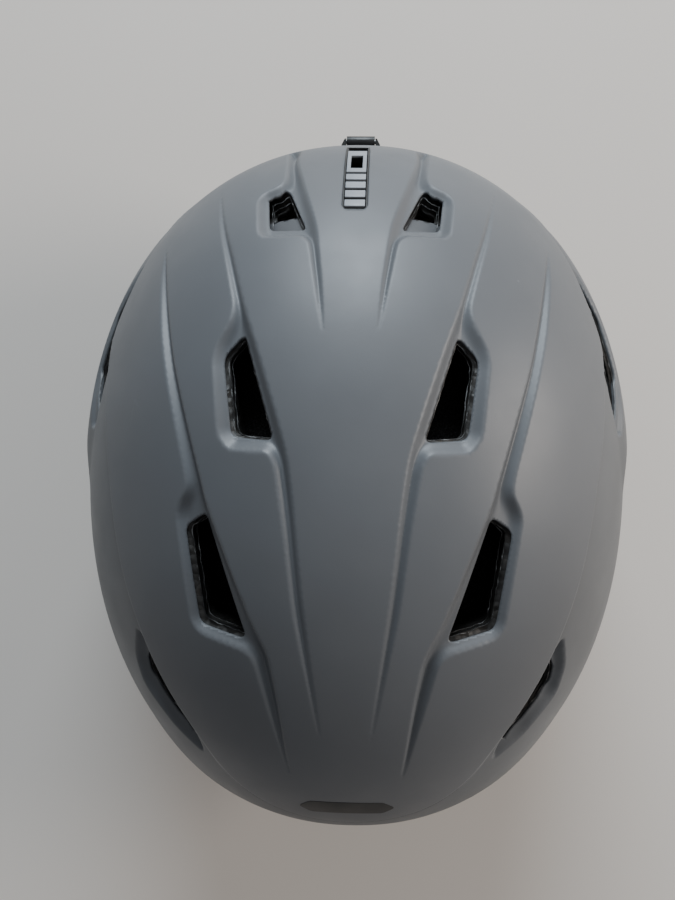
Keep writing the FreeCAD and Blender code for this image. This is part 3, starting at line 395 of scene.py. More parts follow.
def rim_height(y):
    """Height of the rim line from the equator."""
    ear, nape = smooth_step(y, -112, -46), smooth_step(y, 42, 96)
    return RIM_FRONT + (RIM_SIDE - RIM_FRONT) * ear + (RIM_REAR - RIM_SIDE) * nape


OUTSIDE = Dome(114.8, 148.0, 141.5, 115.0, 140.0, 2.13)
CAVITY = Dome(88.0, 115.0, 104.0, 87.0, 300.0, 2.0)
BAND_RING = Dome(84.25, 111.25, 100.35, 87.0, 300.0, 2.0)
RADIAN = 115.0

# Styling lines of the +X side, in plan
REAR_VENT = [(17.2, 90.2), (31, 90.6), (33, 107), (25.2, 109)]
MIDDLE_VENT = [(25.4, 13.4), (40.6, 14.6), (44.4, 42.5), (37.2, 51)]
FRONT_VENT = [(49.4, -11.4), (57.2, -16.6), (52.0, -51.2), (34.8, -55.8)]
REAR_RECESS = [(29.5, 134), (27.5, 121), (27, 111.5), (37.4, 106.5), (35.2, 89.5), (33, 87.2), (16.6, 87.4),
               (12.6, 66), (8.6, 45), (10.6, 70), (13.4, 91.8), (18.5, 108), (23.2, 124), (23, 134)]
MIDDLE_RECESS = [(54.6, 116), (50.2, 92), (45, 74), (41, 58.7), (48.8, 44.5), (45.6, 15.4), (41.6, 10),
                 (27.4, 9.6), (25, 5), (21.6, -16), (18, -46), (13, -72), (7.2, -105), (11.1, -72),
                 (15, -40), (18.3, -6), (20.4, 9), (25.3, 25), (32, 45.5), (37.4, 60.2), (43.4, 80),
                 (48.6, 95)]
FRONT_RECESS = [(74.4, 92), (73.6, 75), (70.3, 53), (67, 38), (63.4, 24), (58, 4), (56.6, -3), (61, -11.5),
                (55, -54), (33, -60.6), (30.3, -71), (24.6, -94), (19.6, -116), (24, -77), (26.9, -60.5),
                (32.6, -49.5), (48.8, -9), (51.8, 2), (58.4, 24), (63.4, 41), (67.7, 60), (72, 80)]
SLOT_RECESS = [(81, -57), (83.5, -70), (81, -82), (68, -98), (55, -108), (57.5, -99.5), (69, -79),
               (77.5, -62)]
SLOT = [(79.4, -66.5), (81.2, -71.5), (80, -78.5), (76.5, -84.5), (68.5, -94.5), (61, -101.8), (62.5, -97.5),
        (68, -87.5), (72.2, -80.5), (77, -72)]
CREASE_SIDE = [(0, -137), (24, -132), (43.5, -118), (58, -96.5), (74, -68), (86, -35), (93, 3), (95.6, 20),
               (97.3, 45), (97, 55)]
SLIDER_SLOT = [(-4.75, 98.2), (4.75, 98.2), (4.75, 132.6), (-4.75, 132.6)]
EMBLEM = [(-18.5, -126), (-14, -129.3), (14, -129.3), (18.5, -126), (14, -122.7), (-14, -122.7)]
# Styling lines given as azimuth and height
CREASE_REAR = [(33, 42.5), (42, 34), (52, 22), (64, 13.5), (77, 10), (90, 9)]
BACK_SLOT = [(10, 41), (15, 45), (21, 46.8), (27, 43.4), (33, 40.4), (38.5, 36.3), (36, 33), (28, 31),
             (18, 32)]
BACK_SLOT_RECESS = [(8, 43), (14, 48.5), (21, 50), (27, 44.6), (33, 41.5), (39.5, 36.8), (38, 32), (28, 29.5),
                    (17, 30.5), (8, 38)]
BACK_SLOT_LIP = [(-4, 30), (8, 45), (18, 47.5), (27, 43.8), (35, 40), (46, 34), (58, 18), (40, 2), (22, 2),
                 (6, 14)]
LIP_PROUD, LIP_SPREAD, LIP_INSET = 1.9, 13.0, 0.9


class Vent:
    """A hole through shell and liner: its outline in q, and whether it runs straight down."""

    def __init__(self, outline, upright):
        self.outline = outline
        self.upright = upright
        self.lip = inset(outline, LIP_INSET / RADIAN)


def build_recesses():
    """Recesses of both sides: outline, depth and slope."""
    recesses = []
    for outline, corner, depth, slope in (
            (REAR_RECESS, 5.0, 3.2, 1.05), (MIDDLE_RECESS, 6.0, 3.5, 0.95),
            (FRONT_RECESS, 6.0, 3.4, 1.15), (SLOT_RECESS, 4.0, 4.0, 1.4)):
        side = rounded(outline, corner)
        recesses += [(OUTSIDE.flat(p), depth, slope) for p in (side, mirror_x(side))]
    dent = rounded(OUTSIDE.flat_at(BACK_SLOT_RECESS), 6 / RADIAN, 0.8 / RADIAN)
    return recesses + [(dent, 1.8, 1.2), (mirror_x(dent), 1.8, 1.2)]


def build_vents():
    """Vents of both sides, each where its outline stands in plan once the shell is sunk."""
    vents = []
    for outline, corner, upright in ((REAR_VENT, 2.0, True), (MIDDLE_VENT, 3.2, True),
                                     (FRONT_VENT, 3.0, True), (SLOT, 2.0, False)):
        side = rounded(outline, corner)
        aim = side.copy()
        for _ in range(6 if upright else 0):
            q = OUTSIDE.flat(aim)
            aim += side - OUTSIDE.below(q, sunk(q) + crease_step(q))[:, :2]
        q = OUTSIDE.flat(aim)
        vents += [Vent(q, upright), Vent(mirror_x(q), upright)]
    hole = rounded(OUTSIDE.flat_at(BACK_SLOT), 2.5 / RADIAN, 0.8 / RADIAN)
    return vents + [Vent(hole, False), Vent(mirror_x(hole), False)]


def crease_line():
    """The upper shell's edge: plan points round the front and sides, then low round the rear."""
    right = np.vstack([OUTSIDE.flat(CREASE_SIDE), OUTSIDE.flat_at(CREASE_REAR)])
    return spline(np.vstack([right, mirror_x(right[1:-1])]), 0.0075)


RECESSES = build_recesses()
LIP = rounded(OUTSIDE.flat_at(BACK_SLOT_LIP), 6 / RADIAN, 0.8 / RADIAN)
LIPS = [LIP, mirror_x(LIP)]
CREASE = crease_line()
SLIDER_HOLE = OUTSIDE.flat(rounded(SLIDER_SLOT, 2.6))


def within(q, p, outline):
    """Which points lie in an outline, and how far each is from it."""
    index = np.nonzero(inside(q, outline))[0]
    return index, distance_to(p[index], OUTSIDE.at(outline))


def sunk(q):
    """How far the styled shell lies below the plain dome."""
    p = OUTSIDE.at(q)
    depth = np.zeros(len(q))
    for outline, deepest, slope in RECESSES:
        index, d = within(q, p, outline)
        d = np.sqrt(d**2 + 0.2**2) - 0.2
        share = slope * d / deepest
        depth[index] = np.maximum(depth[index], deepest * share / (1 + share**5) ** 0.2)
    for outline in LIPS:
        index, d = within(q, p, outline)
        depth[index] -= LIP_PROUD * smooth_step(d, 0, LIP_SPREAD)
    return depth


def crease_step(q):
    """The upper shell's lip and the lower shell's step at the crease."""
    p = OUTSIDE.at(q)
    below = ~inside(q, CREASE)
    gap = distance_to(p, OUTSIDE.at(CREASE))
    step = np.where(below, 1.3 * smooth_step(gap, -1.2, 1.2), 0.7 * (1 - smooth_step(gap, 0, 1.4)))
    return step * smooth_step(p[:, 1], -128, -95)


VENTS = build_vents()


# ---- materials
class Shader:
    """A Principled material with short ways to add procedural detail."""

    def __init__(self, name, colour, roughness, **sockets):
        self.material = bpy.data.materials.new(name)
        self.material.use_nodes = True
        self.tree = self.material.node_tree
        self.bsdf = self.tree.nodes["Principled BSDF"]
        self.set("Base Color", (*colour, 1))
        self.set("Roughness", roughness)
        for key, value in sockets.items():
            self.set(key.replace("_", " "), value)

    def set(self, socket, value):
        self.bsdf.inputs[socket].default_value = value

    def node(self, kind, links=None, **values):
        """A node; values set its properties or sockets, links join its sockets to outputs."""
        n = self.tree.nodes.new(kind)
        for key, value in values.items():
            if hasattr(n, key):
                setattr(n, key, value)
            else:
                n.inputs[key.replace("_", " ")].default_value = value
        for key, output in (links or {}).items():
            self.tree.links.new(output, n.inputs[key])
        return n

    def link(self, output, socket):
        self.tree.links.new(output, self.bsdf.inputs[socket])

    def coords(self, scale=(1, 1, 1), turn=(0, 0, 0)):
        """Places on the object, in metres."""
        base = self.node("ShaderNodeTexCoord")
        return self.node("ShaderNodeMapping", {"Vector": base.outputs["Object"]}, Scale=scale,
                         Rotation=turn).outputs[0]

    def cloth(self, turn=0.0):
        """Places on the cloth, in millimetres."""
        base = self.node("ShaderNodeAttribute", attribute_name="cloth")
        return self.node("ShaderNodeMapping", {"Vector": base.outputs["Vector"]},
                         Rotation=(0, 0, turn)).outputs[0]

    def noise(self, scale, detail=3.0, coords=None, **more):
        return self.node("ShaderNodeTexNoise", {"Vector": coords or self.coords()},
                         Scale=scale, Detail=detail, **more).outputs["Fac"]

    def cells(self, scale, coords=None, output="Distance", **more):
        return self.node("ShaderNodeTexVoronoi", {"Vector": coords or self.coords()},
                         Scale=scale, **more).outputs[output]

    def waves(self, scale, coords, **more):
        return self.node("ShaderNodeTexWave", {"Vector": coords}, Scale=scale, **more).outputs["Fac"]

    def ramp(self, value, stops):
        r = self.node("ShaderNodeValToRGB", {"Fac": value})
        while len(r.color_ramp.elements) < len(stops):
            r.color_ramp.elements.new(0.5)
        for element, (at, colour) in zip(r.color_ramp.elements, stops):
            element.position = at
            element.color = (*(grey(colour) if np.isscalar(colour) else colour), 1)
        return r.outputs["Color"]

    def mix(self, share, a, b, kind="MIX"):
        """Mixes two colours or outputs by a share."""
        n = self.node("ShaderNodeMix", data_type="RGBA", blend_type=kind)
        for index, value in ((0, share), (6, a), (7, b)):
            if hasattr(value, "is_linked"):
                self.tree.links.new(value, n.inputs[index])
            else:
                n.inputs[index].default_value = value if index == 0 else (*value, 1)
        return n.outputs[2]

    def bump(self, height, distance, strength=1.0, under=None):
        links = {"Height": height}
        if under:
            links["Normal"] = under
        return self.node("ShaderNodeBump", links, Strength=strength, Distance=distance).outputs[0]


def grey(v):
    return (v, v, v)


def tinted(colour, by):
    return tuple(v * by for v in colour)


def shell_material(name, colour):
    """Matt paint with a faint tone, orange peel, hairline scratches and small chips."""
    s = Shader(name, colour, 0.44, Specular_IOR_Level=0.45)
    tone = s.ramp(s.noise(16, 3), [(0.3, tinted(colour, 0.93)), (0.7, tinted(colour, 1.06))])
    wobble = s.mix(0.04, s.coords((1, 0.25, 1)), s.node("ShaderNodeTexNoise", {
        "Vector": s.coords()}, Scale=9).outputs["Color"], "ADD")
    hairline = s.ramp(s.cells(70, wobble, feature="DISTANCE_TO_EDGE"), [(0.0, 1), (0.010, 0)])
    where = s.ramp(s.noise(11, 2, s.coords((1, 1, 1), (0, 0, 1))), [(0.66, 0), (0.74, 0.3)])
    scratched = s.mix(s.mix(1.0, hairline, where, "MULTIPLY"), tone, tinted(colour, 2.1))
    chip = s.ramp(s.cells(150), [(0.05, 1), (0.11, 0)])
    chosen = s.ramp(s.cells(150, output="Color"), [(0.955, 0), (0.965, 1)])
    s.link(s.mix(s.mix(1.0, chip, chosen, "MULTIPLY"), scratched, grey(0.55)), "Base Color")
    s.link(s.ramp(s.noise(40, 5), [(0.3, 0.40), (0.7, 0.50)]), "Roughness")
    peel = s.bump(s.noise(2400, 2), 0.00003, 0.6)
    s.link(s.bump(s.noise(260, 2), 0.00004, 0.35, peel), "Normal")
    return s.material


def foam_material():
    """Fused polystyrene beads."""
    s = Shader("foam_beads", grey(0.02), 0.55)
    cells = s.cells(330)
    s.link(s.ramp(s.cells(330, output="Color"), [(0.0, (0.014, 0.013, 0.012)), (0.6, (0.028, 0.026, 0.024)),
                                                 (1.0, (0.048, 0.043, 0.038))]), "Base Color")
    s.link(s.ramp(cells, [(0.0, 0.42), (0.8, 0.7)]), "Roughness")
    s.link(s.bump(s.ramp(cells, [(0.0, 1), (0.75, 0)]), 0.0006, 0.9,
                  s.bump(s.noise(1500, 3), 0.00008, 0.5)), "Normal")
    return s.material


def knob_material():
    """The slider's moulding: satin on its bars, with painted shade, near black, down in its grooves."""
    s = Shader("slider_moulding", (0.27, 0.29, 0.32), 0.42)
    across = s.node("ShaderNodeMapping", {"Vector": s.coords()}, Scale=(0, 1, 1),
                    Location=(0, -SLIDER_Y * MM, -SLIDER_Z * MM)).outputs[0]
    reach = s.node("ShaderNodeVectorMath", {"Vector": across}, operation="LENGTH").outputs["Value"]
    top = s.node("ShaderNodeMapRange", {"Value": reach}, From_Min=(SLIDER_RADIUS - 0.5) * MM,
                 From_Max=(SLIDER_RADIUS + 0.1) * MM).outputs[0]
    tone = s.ramp(s.noise(70, 4), [(0.3, (0.24, 0.26, 0.29)), (0.7, (0.33, 0.35, 0.38))])
    # Painted shade: below the bars' tops the colour goes near black; the bars keep the tone noise.
    s.link(s.mix(top, grey(0.012), tone), "Base Color")
    s.link(s.bump(s.cells(1400), 0.00004, 0.7), "Normal")
    return s.material


def edge_material():
    """The film's cut edge: dark, with painted glints in broken lengths along it."""
    s = Shader("sheet_edge", grey(0.2), 0.45)
    # Painted highlight: the noise ramp's lighter patches stand in for glints on the dark edge.
    s.link(s.ramp(s.noise(260, 4), [(0.44, 0.012), (0.54, 0.06), (0.64, 0.26)]), "Base Color")
    s.link(s.bump(s.noise(900, 3), 0.0002, 0.8), "Normal")
    return s.material


def plastic_material(name, colour, roughness, grain=1400, depth=0.00004):
    """Moulded plastic with a spark-eroded grain and rubbed patches."""
    s = Shader(name, colour, roughness)
    worn = s.noise(60, 5)
    s.link(s.ramp(worn, [(0.35, tinted(colour, 0.85)), (0.75, tinted(colour, 1.2))]), "Base Color")
    s.link(s.ramp(worn, [(0.3, grey(roughness - 0.06)), (0.7, grey(roughness + 0.1))]), "Roughness")
    s.link(s.bump(s.cells(grain), depth, 0.7, s.bump(s.noise(grain * 1.7, 2), depth / 2, 0.5)), "Normal")
    return s.material


def rubber_material():
    s = Shader("trim_rubber", grey(0.018), 0.62)
    s.link(s.ramp(s.noise(90, 4), [(0.3, 0.013), (0.75, 0.028)]), "Base Color")
    s.link(s.bump(s.noise(1800, 3), 0.00006, 0.7), "Normal")
    return s.material


def knit_material(name, colour, rib=1.1):
    """Brushed knit: rows of loops with a melange of lighter fibres."""
    s = Shader(name, colour, 0.9, Sheen_Weight=0.35, Sheen_Roughness=0.4)
    loops = s.mix(1.0, s.waves(0.314 / rib, s.cloth(), bands_direction="X", Distortion=5.0, Detail=2.0),
                  s.waves(0.314 / rib * 1.3, s.cloth(), bands_direction="Y", Distortion=5.0), "MULTIPLY")
    fibre = s.noise(2.4, 4, s.cloth())
    base = s.ramp(fibre, [(0.3, tinted(colour, 0.7)), (0.7, tinted(colour, 1.5))])
    s.link(s.mix(0.3, base, loops, "SOFT_LIGHT"), "Base Color")
    s.link(s.bump(loops, 0.00025, 0.5, s.bump(s.noise(0.12, 3, s.cloth()), 0.0012, 0.5)), "Normal")
    return s.material


def webbing_material():
    """Polyester webbing: a herringbone of warp threads."""
    s = Shader("webbing_weave", grey(0.022), 0.66, Sheen_Weight=0.2)
    warp = s.waves(0.314 / 1.4, s.cloth(), bands_direction="X")
    chevron = s.waves(0.314 / 1.1, s.cloth(0.7), bands_direction="X", Distortion=0.4)
    weave = s.mix(0.6, warp, chevron, "MULTIPLY")
    tint = s.ramp(s.noise(0.8, 3, s.cloth()), [(0.3, 0.014), (0.7, 0.034)])
    s.link(s.mix(0.5, tint, weave, "SOFT_LIGHT"), "Base Color")
    s.link(s.bump(weave, 0.0003, 0.9), "Normal")
    return s.material


def steel_material():
    s = Shader("screw_steel", (0.5, 0.5, 0.51), 0.34, Metallic=1.0)
    s.link(s.ramp(s.noise(500, 5, s.coords((1, 1, 0.1))), [(0.3, 0.24), (0.7, 0.45)]), "Roughness")
    s.link(s.bump(s.noise(900, 3, s.coords((1, 1, 0.1))), 0.00003, 0.5), "Normal")
    return s.material


def loop_material():
    """Hook tape: a mat of small loops."""
    s = Shader("hook_tape", grey(0.02), 0.8)
    s.link(s.ramp(s.cells(1100), [(0.1, 0.04), (0.6, 0.008)]), "Base Color")
    s.link(s.bump(s.cells(1100), 0.0004, 1.0), "Normal")
    return s.material


SHELL = shell_material("shell_paint", (0.120, 0.127, 0.137))
SHELL_LOW = shell_material("shell_paint_low", (0.115, 0.122, 0.131))
FOAM = foam_material()
EDGE = edge_material()
RUBBER = rubber_material()
BLACK = plastic_material("black_moulding", grey(0.016), 0.42)
BAND = plastic_material("band_moulding", grey(0.024), 0.36, 900)
GREY = knob_material()
SHUTTER = plastic_material("shutter_moulding", (0.075, 0.078, 0.084), 0.42)
KNIT = knit_material("liner_knit", (0.030, 0.031, 0.034))
SOFTSHELL = knit_material("ear_softshell", (0.022, 0.023, 0.025), 0.7)
PIPING = knit_material("piping_cord", grey(0.045), 0.8)
THREAD = knit_material("thread", grey(0.11), 0.4)
WEBBING = webbing_material()
STEEL = steel_material()
HOOKS = loop_material()
PRINT = plastic_material("badge_print", grey(0.008), 0.5, 2200, 0.00001)


# ---- shells, badge and liner
def build_shells():
    holes = [*[v.outline for v in VENTS], SLIDER_HOLE]
    q, faces, _ = triangulate(OUTSIDE.rim(), [*holes, *[r[0] for r in RECESSES], CREASE])
    middle = q[faces].mean(1)
    open_faces = np.zeros(len(faces), bool)
    for hole in holes:
        open_faces |= inside(middle, hole)
    upper = inside(middle, CREASE)
    depth = averaged(sunk(q), faces, 1) + crease_step(q)
    surface = OUTSIDE.below(q, depth)
    for name, chosen, material, slot, node in (
            ("shell_upper", upper & ~open_faces, SHELL, "shell", "upper_shell"),
            ("shell_lower", ~upper & ~open_faces, SHELL_LOW, "shell_lower", "lower_shell")):
        index, own = np.unique(faces[chosen], return_inverse=True)
        build = Build()
        build.add(surface[index], own.reshape(-1, 3))
        shell = build.finish(name, [material], slot=slot, replaces=[node])
        wall = shell.modifiers.new("wall", "SOLIDIFY")
        wall.thickness = SHELL_WALL * MM
        wall.offset = -1


INK_ABOVE, INK_BELOW = 0.12, 0.3


def build_badge():
    """A plain hexagonal bar printed on the brow."""
    outline = OUTSIDE.flat(rounded(EMBLEM, 1.0))
    q, faces, rings = triangulate(outline, [], coarse=0.02)
    n = OUTSIDE.normals(q)
    top, bottom = OUTSIDE.at(q) + n * INK_ABOVE, OUTSIDE.at(q) - n * INK_BELOW
    build = Build()
    build.add(top, faces)
    build.add(bottom, faces)
    ring = rings[0]
    build.add(*loft([top[ring], bottom[ring]]))
    build.finish("front_badge", [PRINT], slot="emblem", replaces=["front_emblem"], smooth=False)


POCKET_START, POCKET_END, POCKET_X, POCKET_DEEP = 79.0, 110.0, 38.0, 9.5


def liner_skin(q):
    """The liner's outer skin, with the room for the slider and its shutter."""
    p = OUTSIDE.at(q)
    x, y = np.abs(p[:, 0]), p[:, 1]
    ends = smooth_step(y, POCKET_START - 1, POCKET_START) * (1 - smooth_step(y, POCKET_END, POCKET_END + 1))
    wide = 1 - smooth_step(x, POCKET_X, POCKET_X + 1)
    slot = (1 - smooth_step(x, 8.0, 9.0)) * smooth_step(y, 90, 92) * (1 - smooth_step(y, 134.5, 136.5))
    room = np.maximum(ends * wide, slot) * POCKET_DEEP
    depth = np.maximum(sunk(q) + crease_step(q), 0) + SHELL_WALL + LINER_GAP
    return OUTSIDE.below(q, np.maximum(depth, room))


def build_liner():
    """Foam between two skins, open at the vents, with the sheet's cut edge showing round each vent."""
    spacing = {"fine": 0.012, "coarse": 0.03, "band": 0.035}
    build = Build()
    outer_rim, inner_rim = OUTSIDE.rim(), CAVITY.rim()
    lips = [v.lip for v in VENTS]
    q, faces, rings = triangulate(outer_rim, lips, **spacing)
    middle = q[faces].mean(1)
    keep = ~np.any([inside(middle, lip) for lip in lips], axis=0)
    outer = liner_skin(q)
    outer_rings = [outer[r] for r in rings]
    build.add(outer, faces[keep])

    mouths = [CAVITY.flat(ring, 0.975) if vent.upright else vent.lip
              for vent, ring in zip(VENTS, outer_rings[1:])]
    q, faces, rings = triangulate(inner_rim, mouths, **spacing)
    middle = q[faces].mean(1)
    keep = ~np.any([inside(middle, mouth) for mouth in mouths], axis=0)
    inner = CAVITY.at(q)
    build.add(inner, faces[keep])
    for outside, within in zip(outer_rings, [inner[r] for r in rings]):
        levels = np.linspace(0, 1, 9)[:, None, None]
        rows = outside[None] * (1 - levels) + within[None] * levels
        build.add(*loft(rows))
    liner = build.finish("eps_liner", [FOAM], slot="foam", replaces=["foam_liner"])
    welded(liner, LINER_WELD)

    # Thin beads round each vent, coloured with the edge material's painted glints.
    edges = Build()
    random.seed(5)
    for vent in VENTS:
        for inwards, deeper in ((0.7, 0.1), (0.8, 2.4)):
            ragged = np.array([random.uniform(-0.25, 0.25) for _ in vent.outline])
            ragged = (ragged + np.roll(ragged, 1) + np.roll(ragged, 2)) / 2
            line = inset(vent.outline, (inwards + ragged[:, None]) / RADIAN)
            n = OUTSIDE.normals(line)
            path = OUTSIDE.below(line, sunk(line) + SHELL_WALL + deeper)
            edges.bead(path, n, 0.15, 0, sides=6)
    edges.finish("vent_sheet_edges", [EDGE], slot="foam")


TRIM_PROFILE = [(0.55, -4.5), (0.95, -4.1), (1.0, -1.6), (0.8, -0.2), (0.1, 0.55), (-1.4, 0.7), (-3.2, 0.45),
                (-3.7, -0.1), (-3.4, -0.7), (-2.0, -0.8), (-1.9, -4.0), (-0.4, -4.6)]


def build_trim():
    """A rubber bead that grips the shell's rim."""
    q = OUTSIDE.rim()
    p, n = OUTSIDE.at(q), OUTSIDE.normals(q)
    down = unit(OUTSIDE.at(q * 1.001) - p)
    p = p - n * crease_step(q)[:, None]
    rows = np.stack([p + n * out + down * low for out, low in TRIM_PROFILE], axis=1)
    build = Build()
    build.add(*loft(rows, wrap_rows=True))
    build.finish("rim_bead", [RUBBER], slot="trim", replaces=["rim_trim"])


# ---- padded pieces
PAD_GAP, PAD_THICK = 0.4, 6.5
CAVITY_MM = 100.0


def ripple(points, deep, scale):
    """Soft unevenness of stuffed cloth."""
    return deep * np.array([noise.noise(Vector(p) * scale) for p in points])


def pillow(name, outline, place, low, high, round_over, materials, seams=(), stitched=(), body="helmet",
           slot="lining", replaces=(), spacing=None, unit_mm=1.0, dimple=None, uneven=0.5):
    """A stuffed piece: two crowned faces that meet in a piped edge.

    outline is closed and flat; place(points, depth) lifts it; low and high are the depths of its two faces.
    Each seam is (closed line, depth of its groove); dimple is (centre, radius, depth).
    """
    def flat(points):
        return place(points, np.zeros(len(points)))

    def rolled(gap):
        return np.sqrt(1 - (1 - np.clip(gap / round_over, 0, 1)) ** 2)

    lines = [line for line, _ in seams]
    verts, faces, rings = triangulate(outline, [], near=lines, **(spacing or {}))
    base = flat(verts)
    edge = distance_to(base, flat(outline))
    crown = rolled(edge)
    belly = 0.86 + 0.14 * smooth_step(edge, 0, 3 * round_over)
    dip = np.zeros(len(verts))
    for line, deep in seams:
        gap = distance_to(base, flat(line))
        dip = np.maximum(dip, deep * np.exp(-(gap / 1.5) ** 2) + 0.3 * deep * np.exp(-(gap / 5.0) ** 2))
    if dimple is not None:
        centre, radius, deep = dimple
        away = np.linalg.norm(verts - centre, axis=1)
        dip = dip + deep * (1 - smooth_step(away, 0.55 * radius, radius))
    middle = low + 0.42 * (high - low)
    wave = ripple(base, uneven, 0.07) * crown
    top = place(verts, middle + (high - middle) * crown * belly - dip * crown + wave)
    bottom = place(verts, middle + (low - middle) * crown + 0.5 * dip * crown)
    ring = rings[0]
    bottom[ring] = top[ring]
    cloth = verts * unit_mm
    build = Build()
    build.add(top, faces, 0, cloth)
    build.add(bottom, faces, 1, cloth)
    normal = unit(place(outline, np.full(len(outline), high)) - place(outline, np.full(len(outline), low)))
    build.bead(top[ring], normal, 0.85, 2)
    for line in stitched:
        gap = distance_to(flat(line), flat(outline))
        depth = middle + (high - middle) * rolled(gap) * 0.9
        lifted = place(line, depth + 0.1)
        n = unit(place(line, depth + 1.0) - lifted)
        build.stitches(lifted, n, 3)
    pad = build.finish(name, materials, body=body, slot=slot, replaces=replaces)
    welded(pad, PIECE_WELD)
    return pad


LINING = [KNIT, HOOKS, PIPING, THREAD]
WING = [(13, -62), (30, -66), (52, -56), (64, -36), (66, -8), (58, 22), (56, 44), (48, 58), (30, 64),
        (15, 62), (18, 48), (15, 0), (18, -50)]


def cavity_outline(corners, radius=9.0):
    """A rounded outline on the cavity from azimuths and heights, with points between far corners."""
    step = 1.6 / CAVITY_MM
    dense = []
    for (a0, z0), (a1, z1) in zip(corners, [*corners[1:], corners[0]]):
        count = max(1, int(abs(a1 - a0) / 12))
        dense += [(a0 + (a1 - a0) * i / count, z0 + (z1 - z0) * i / count) for i in range(count)]
    return rounded(CAVITY.flat_at(dense), radius / CAVITY_MM, step)


def build_cavity_pads():
    """Brow, crown, side and rear pads on the cavity wall, and thin wings of lining across the vents."""
    spacing = {"fine": 0.013, "coarse": 0.026, "band": 0.045}
    crown = [(-17, -50), (-11, -63), (11, -63), (17, -50), (14, 0), (17, 48), (11, 62), (-11, 62), (-17, 48),
             (-14, 0)]
    sides = [(-17, 21), (-14, 46), (4, 52), (26, 50), (33, 34), (32, 21)]
    pads = {
        "brow_cushion": ("brow_pad", cavity_outline([(-153, -5.5), (-27, -5.5), (-29, 16.5), (-151, 16.5)])),
        "crown_cushion": ("crown_pad", CAVITY.flat(rounded(crown, 8, 1.6))),
        "side_cushion_left": ("side_pad_left", cavity_outline(sides)),
        "side_cushion_right": ("side_pad_right", mirror_x(cavity_outline(sides))),
        "rear_cushion": ("rear_pad", cavity_outline([(62, -7.5), (118, -7.5), (116, 17.5), (64, 17.5)])),
    }
    for name, (node, outline) in pads.items():
        inner = inset(outline, 6.5 / CAVITY_MM)
        pillow(name, outline, CAVITY.below, PAD_GAP, PAD_GAP + PAD_THICK, 5.0, LINING,
               seams=[(inner, 1.6)], stitched=[inset(outline, 5.2 / CAVITY_MM)], replaces=[node],
               spacing=spacing, unit_mm=CAVITY_MM)
    wing = CAVITY.flat(rounded(WING, 6, 1.6))
    for side, outline in (("left", wing), ("right", mirror_x(wing))):
        pillow(f"crown_wing_{side}", outline, CAVITY.below, 0.5, 2.2, 1.6, LINING,
               stitched=[inset(outline, 3.0 / CAVITY_MM)], spacing=spacing, unit_mm=CAVITY_MM,
               uneven=0.25)


EAR_OUTLINE = [(-38, 59.3), (37, 59.3), (38, 40), (24, 0.95), (-34, 0.95), (-42, 22)]
EAR_LOW_X, EAR_LEAN = 92.0, 11.0 / 59.5
EAR_FOAM = 16.0


def build_ear_pads():
    """Ear pads: softshell outside, knit inside, an ear dimple and a webbing slit with its binding."""
    outline = rounded(EAR_OUTLINE, 9.0, 1.5)
    oval_angle = np.linspace(0, 2 * math.pi, 90, endpoint=False)
    oval = np.stack([-2 + 24 * np.cos(oval_angle), 33 + 16 * np.sin(oval_angle)], axis=1)
    slit = rounded([(-28.4, 3.6), (-7.6, 3.6), (-7.6, 13.0), (-28.4, 13.0)], 3.0, 1.0)
    for side, sign in SIDES:
        def place(points, depth, sign=sign):
            x = EAR_LOW_X + EAR_LEAN * points[:, 1] - depth
            return np.stack([sign * x, points[:, 0], points[:, 1]], axis=1)

        pillow(f"ear_pad_{side}", outline, place, 0.2, EAR_FOAM - 0.4, 6.5, [KNIT, SOFTSHELL, PIPING, THREAD],
               seams=[(oval, 1.8), (inset(outline, 7.0), 1.2)], stitched=[inset(outline, 5.6)],
               replaces=[f"ear_panel_{side}", f"ear_cushion_{side}"], unit_mm=1.0,
               spacing={"fine": 1.2, "coarse": 2.4, "band": 4.0}, dimple=((-2, 33), 15.0, 2.4))
        binding = Build()
        rim = place(slit, np.full(len(slit), EAR_FOAM - 1.4))
        binding.bead(rim, np.tile((-sign, 0.0, 0.0), (len(rim), 1)), 1.1, 0)
        binding.finish(f"ear_slit_binding_{side}", [PIPING], slot="lining")


def build_nape_and_chin_pads():
    nape = rounded([(-29.6, 7.4), (29.6, 7.4), (25.8, 33.6), (-25.8, 33.6)], 7.0, 1.4)

    def on_back(points, depth):
        return np.stack([points[:, 0], 85.2 - depth, points[:, 1]], axis=1)

    pillow("nape_cushion", nape, on_back, 0.0, 6.3, 5.0, LINING, seams=[(inset(nape, 7.0), 1.5)],
           stitched=[inset(nape, 5.4)], replaces=["nape_pad"],
           spacing={"fine": 1.1, "coarse": 2.2, "band": 3.5})

    chin = rounded([(-62, -32), (-29, -32), (-29, -4), (-62, -4)], 5.5, 1.2)
    soft = {"fine": 1.0, "coarse": 2.0, "band": 3.0}
    crossing = spline([(-62, -18), (-45.5, -16.5), (-29, -18), (-45.5, -19.5)], 1.2)

    def on_strap(points, depth):
        return np.stack([points[:, 0], points[:, 1], depth], axis=1)

    pillow("chin_cushion", chin, on_strap, 0.2, 7.3, 4.0, [KNIT, SOFTSHELL, PIPING, THREAD],
           seams=[(crossing, 0.8)], stitched=[inset(chin, 3.6)], replaces=["chin_pad"],
           spacing=soft, uneven=0.35)


